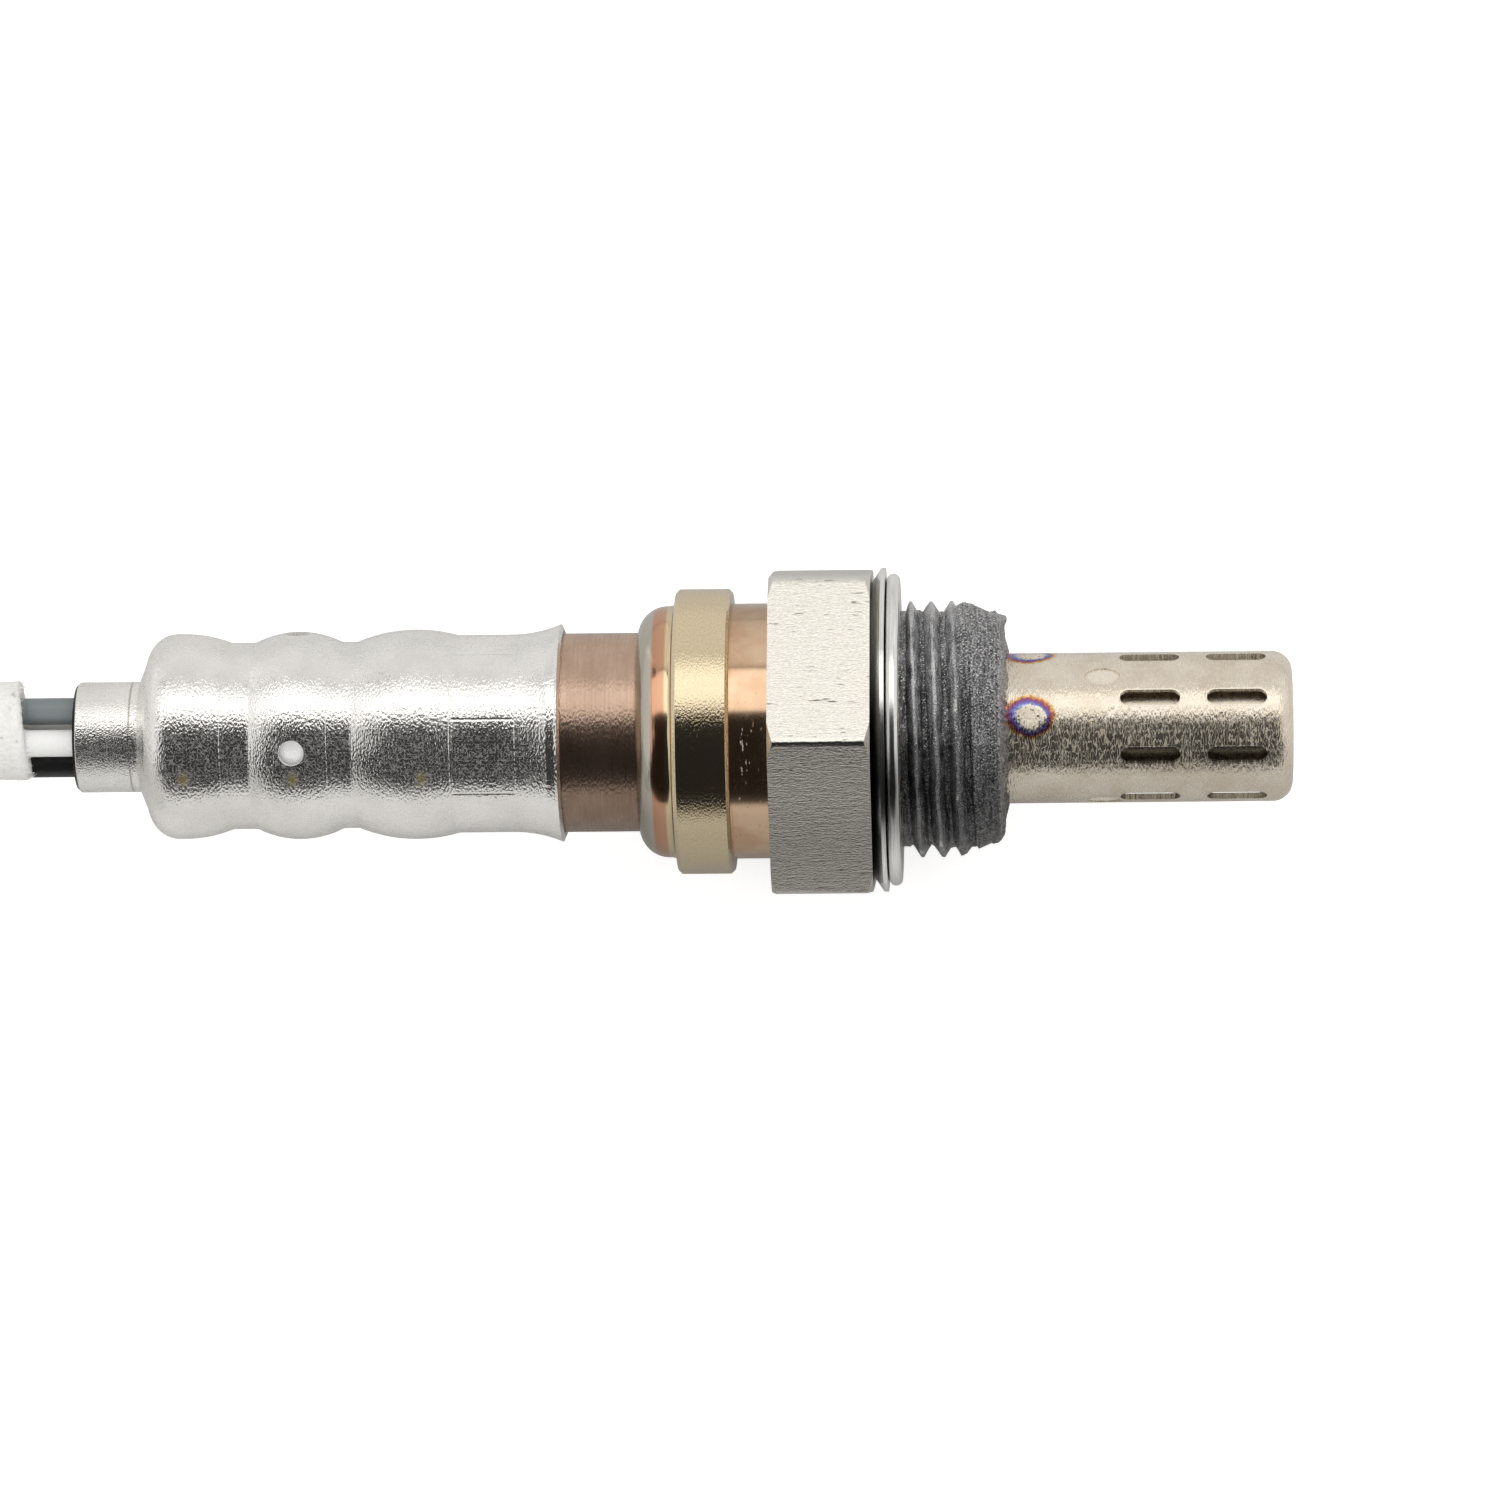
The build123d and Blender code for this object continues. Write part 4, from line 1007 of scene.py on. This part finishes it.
def champagne_steel():
    """Warm steel with a fine wrinkled grain, and rings of heat colours round its four spot welds."""
    graph = Graph("champagne_steel")
    wrinkle = graph.noise(graph.wrap(along=8.0, around=0.2), detail=1.0)
    glints = graph.worms(graph.wrap(along=5.5, around=0.13), width=0.07)
    grain = graph.noise(graph.place, scale=8.0)
    cloud = graph.noise(graph.place, scale=0.5, detail=3.0)
    fringe = graph.noise(graph.place, scale=5.0, roughness=0.6)
    along, reach = weld_places(graph, cloud, fringe)
    dished = dimples(graph)
    highlit_rims = slot_rims(graph)
    base = graph.blend(cloud, 0.3, 0.7, screen(228, 216, 198), screen(240, 231, 215))
    colour = graph.blend(reach, 1.18, 1.0, base, heat_colours(graph, along, reach, fringe))
    # Painted highlight: the slot rims are lightened.
    colour = graph.mix(graph.times(highlit_rims, 0.5), colour, screen(250, 244, 232))
    # Painted shade: darker away from the side at 80 degrees.
    colour = graph.shade(colour, direction=80, start=0.85, end=0.5, most=0.24)
    matt = graph.math("MAXIMUM", graph.times(dished, 0.85), graph.ease(reach, 0.6, 0.45, high=0.6))
    graph.set(
        Base_Color=graph.mix(dished, colour, screen(232, 223, 207)),
        Metallic=graph.past(graph.ease(glints, 0.0, 1.0, low=0.97, high=0.62), matt),
        Roughness=graph.ease(grain, 0.2, 0.8, low=0.2, high=0.28),
    )
    pucker = graph.times(graph.ease(reach, 0.5, 0.3), fringe)
    graph.bump(graph.add((wrinkle, 0.7), (grain, 0.15), (pucker, 2.0), (highlit_rims, -0.25)), depth=0.07)
    return graph.material


def woven_sleeve():
    """Off-white glass-fibre braid, with faint grey mottling."""
    graph = Graph("woven_sleeve")
    weave = graph.noise(graph.place, scale=4.0)
    fibre = graph.noise(graph.stretch(9.0, 3.0, 3.0), detail=3.0, roughness=0.6)
    stain = graph.noise(graph.place, scale=0.9, detail=4.0, roughness=0.65)
    base = graph.blend(weave, 0.3, 0.7, screen(238, 238, 236), screen(250, 250, 248))
    graph.set(
        Base_Color=graph.blend(stain, 0.57, 0.72, base, screen(158, 156, 152), most=0.6),
        Roughness=0.9,
    )
    graph.bump(graph.add((weave, 1.0), (fibre, 0.5)), depth=0.04)
    return graph.material


# Which material each CAD node and each piece made here takes
sheet_steel = (0.5, 0.5, 0.48)
white_ceramic = (0.8, 0.79, 0.75)
contact_metal = (0.6, 0.57, 0.48)
red_rubber = (0.15, 0.05, 0.03)
materials = {
    "gasket": gasket_steel(),
    "inner_protection_tube": plain("dark_steel", screen(216, 206, 190), roughness=0.28, metallic=1.0),
    "thimble_washer": plain("washer_steel", sheet_steel, roughness=0.35, metallic=1.0),
    "talc_ring": plain("pressed_powder", (0.66, 0.65, 0.62), roughness=0.9),
    "ceramic_bush": plain("bush_ceramic", white_ceramic),
    "packing_ring": plain("packing_steel", sheet_steel, roughness=0.35, metallic=1.0),
    "sensing_thimble": plain("zirconia", (0.75, 0.72, 0.64), roughness=0.6),
    "heater_rod": plain("heater_ceramic", (0.8, 0.79, 0.76), roughness=0.45),
    "inner_cover": bronzed_steel(),
    "outer_cover": cover_steel(),
    "vent_filter": plain("porous_filter", (0.95, 0.95, 0.96), roughness=0.9, contrast=0.04),
    "terminal_block": plain("block_ceramic", white_ceramic),
    "grommet": plain("dark_rubber", (0.01, 0.01, 0.01), roughness=0.7),
    "outer_protection_tube": champagne_steel(),
    "coil_tie": plain("tie_plastic", (0.02, 0.02, 0.02), roughness=0.4),
    "connector_housing": plain("connector_plastic", (0.03, 0.03, 0.032)),
    "connector_seal": plain("seal_rubber", red_rubber, roughness=0.7),
    "connector_face_seal": plain("face_seal_rubber", red_rubber, roughness=0.7),
    "connector_lock": plain("lock_plastic", (0.3, 0.31, 0.32)),
    "connector_terminals": plain("tinned_terminals", (0.6, 0.59, 0.55), roughness=0.3, metallic=1.0),
    "shell": shell_colours(),
}
for name in ("signal_contact", "ground_contact", "heater_contact_a", "heater_contact_b"):
    materials[name] = plain(name.replace("contact", "strip"), contact_metal, roughness=0.3, metallic=1.0)
wire_colours = {
    "grey": screen(126, 133, 136),
    "white_front": screen(246, 247, 247),
    "black": screen(24, 24, 25),
    "white_rear": screen(240, 236, 228),
}
for name, colour in wire_colours.items():
    insulation = plain(f"wire_{name}", colour, roughness=0.35, contrast=0.06)
    materials[f"lead_wire_{name}"] = insulation
    materials[f"tail_wire_{name}"] = insulation
for name, material in materials.items():
    nodes[name].data.materials.clear()
    nodes[name].data.materials.append(material)
sleeve_cloth = woven_sleeve()
for piece in (lead, sleeve_mouth, sleeve_fray):
    piece.data.materials.append(sleeve_cloth)
for name, piece in wire_ends.items():
    piece.data.materials.append(materials[f"lead_wire_{name}"])
shell_body.data.materials.append(materials["shell"])
thread.data.materials.append(thread_paste())
table.data.materials.append(white_table())

bpy.context.view_layer.update()
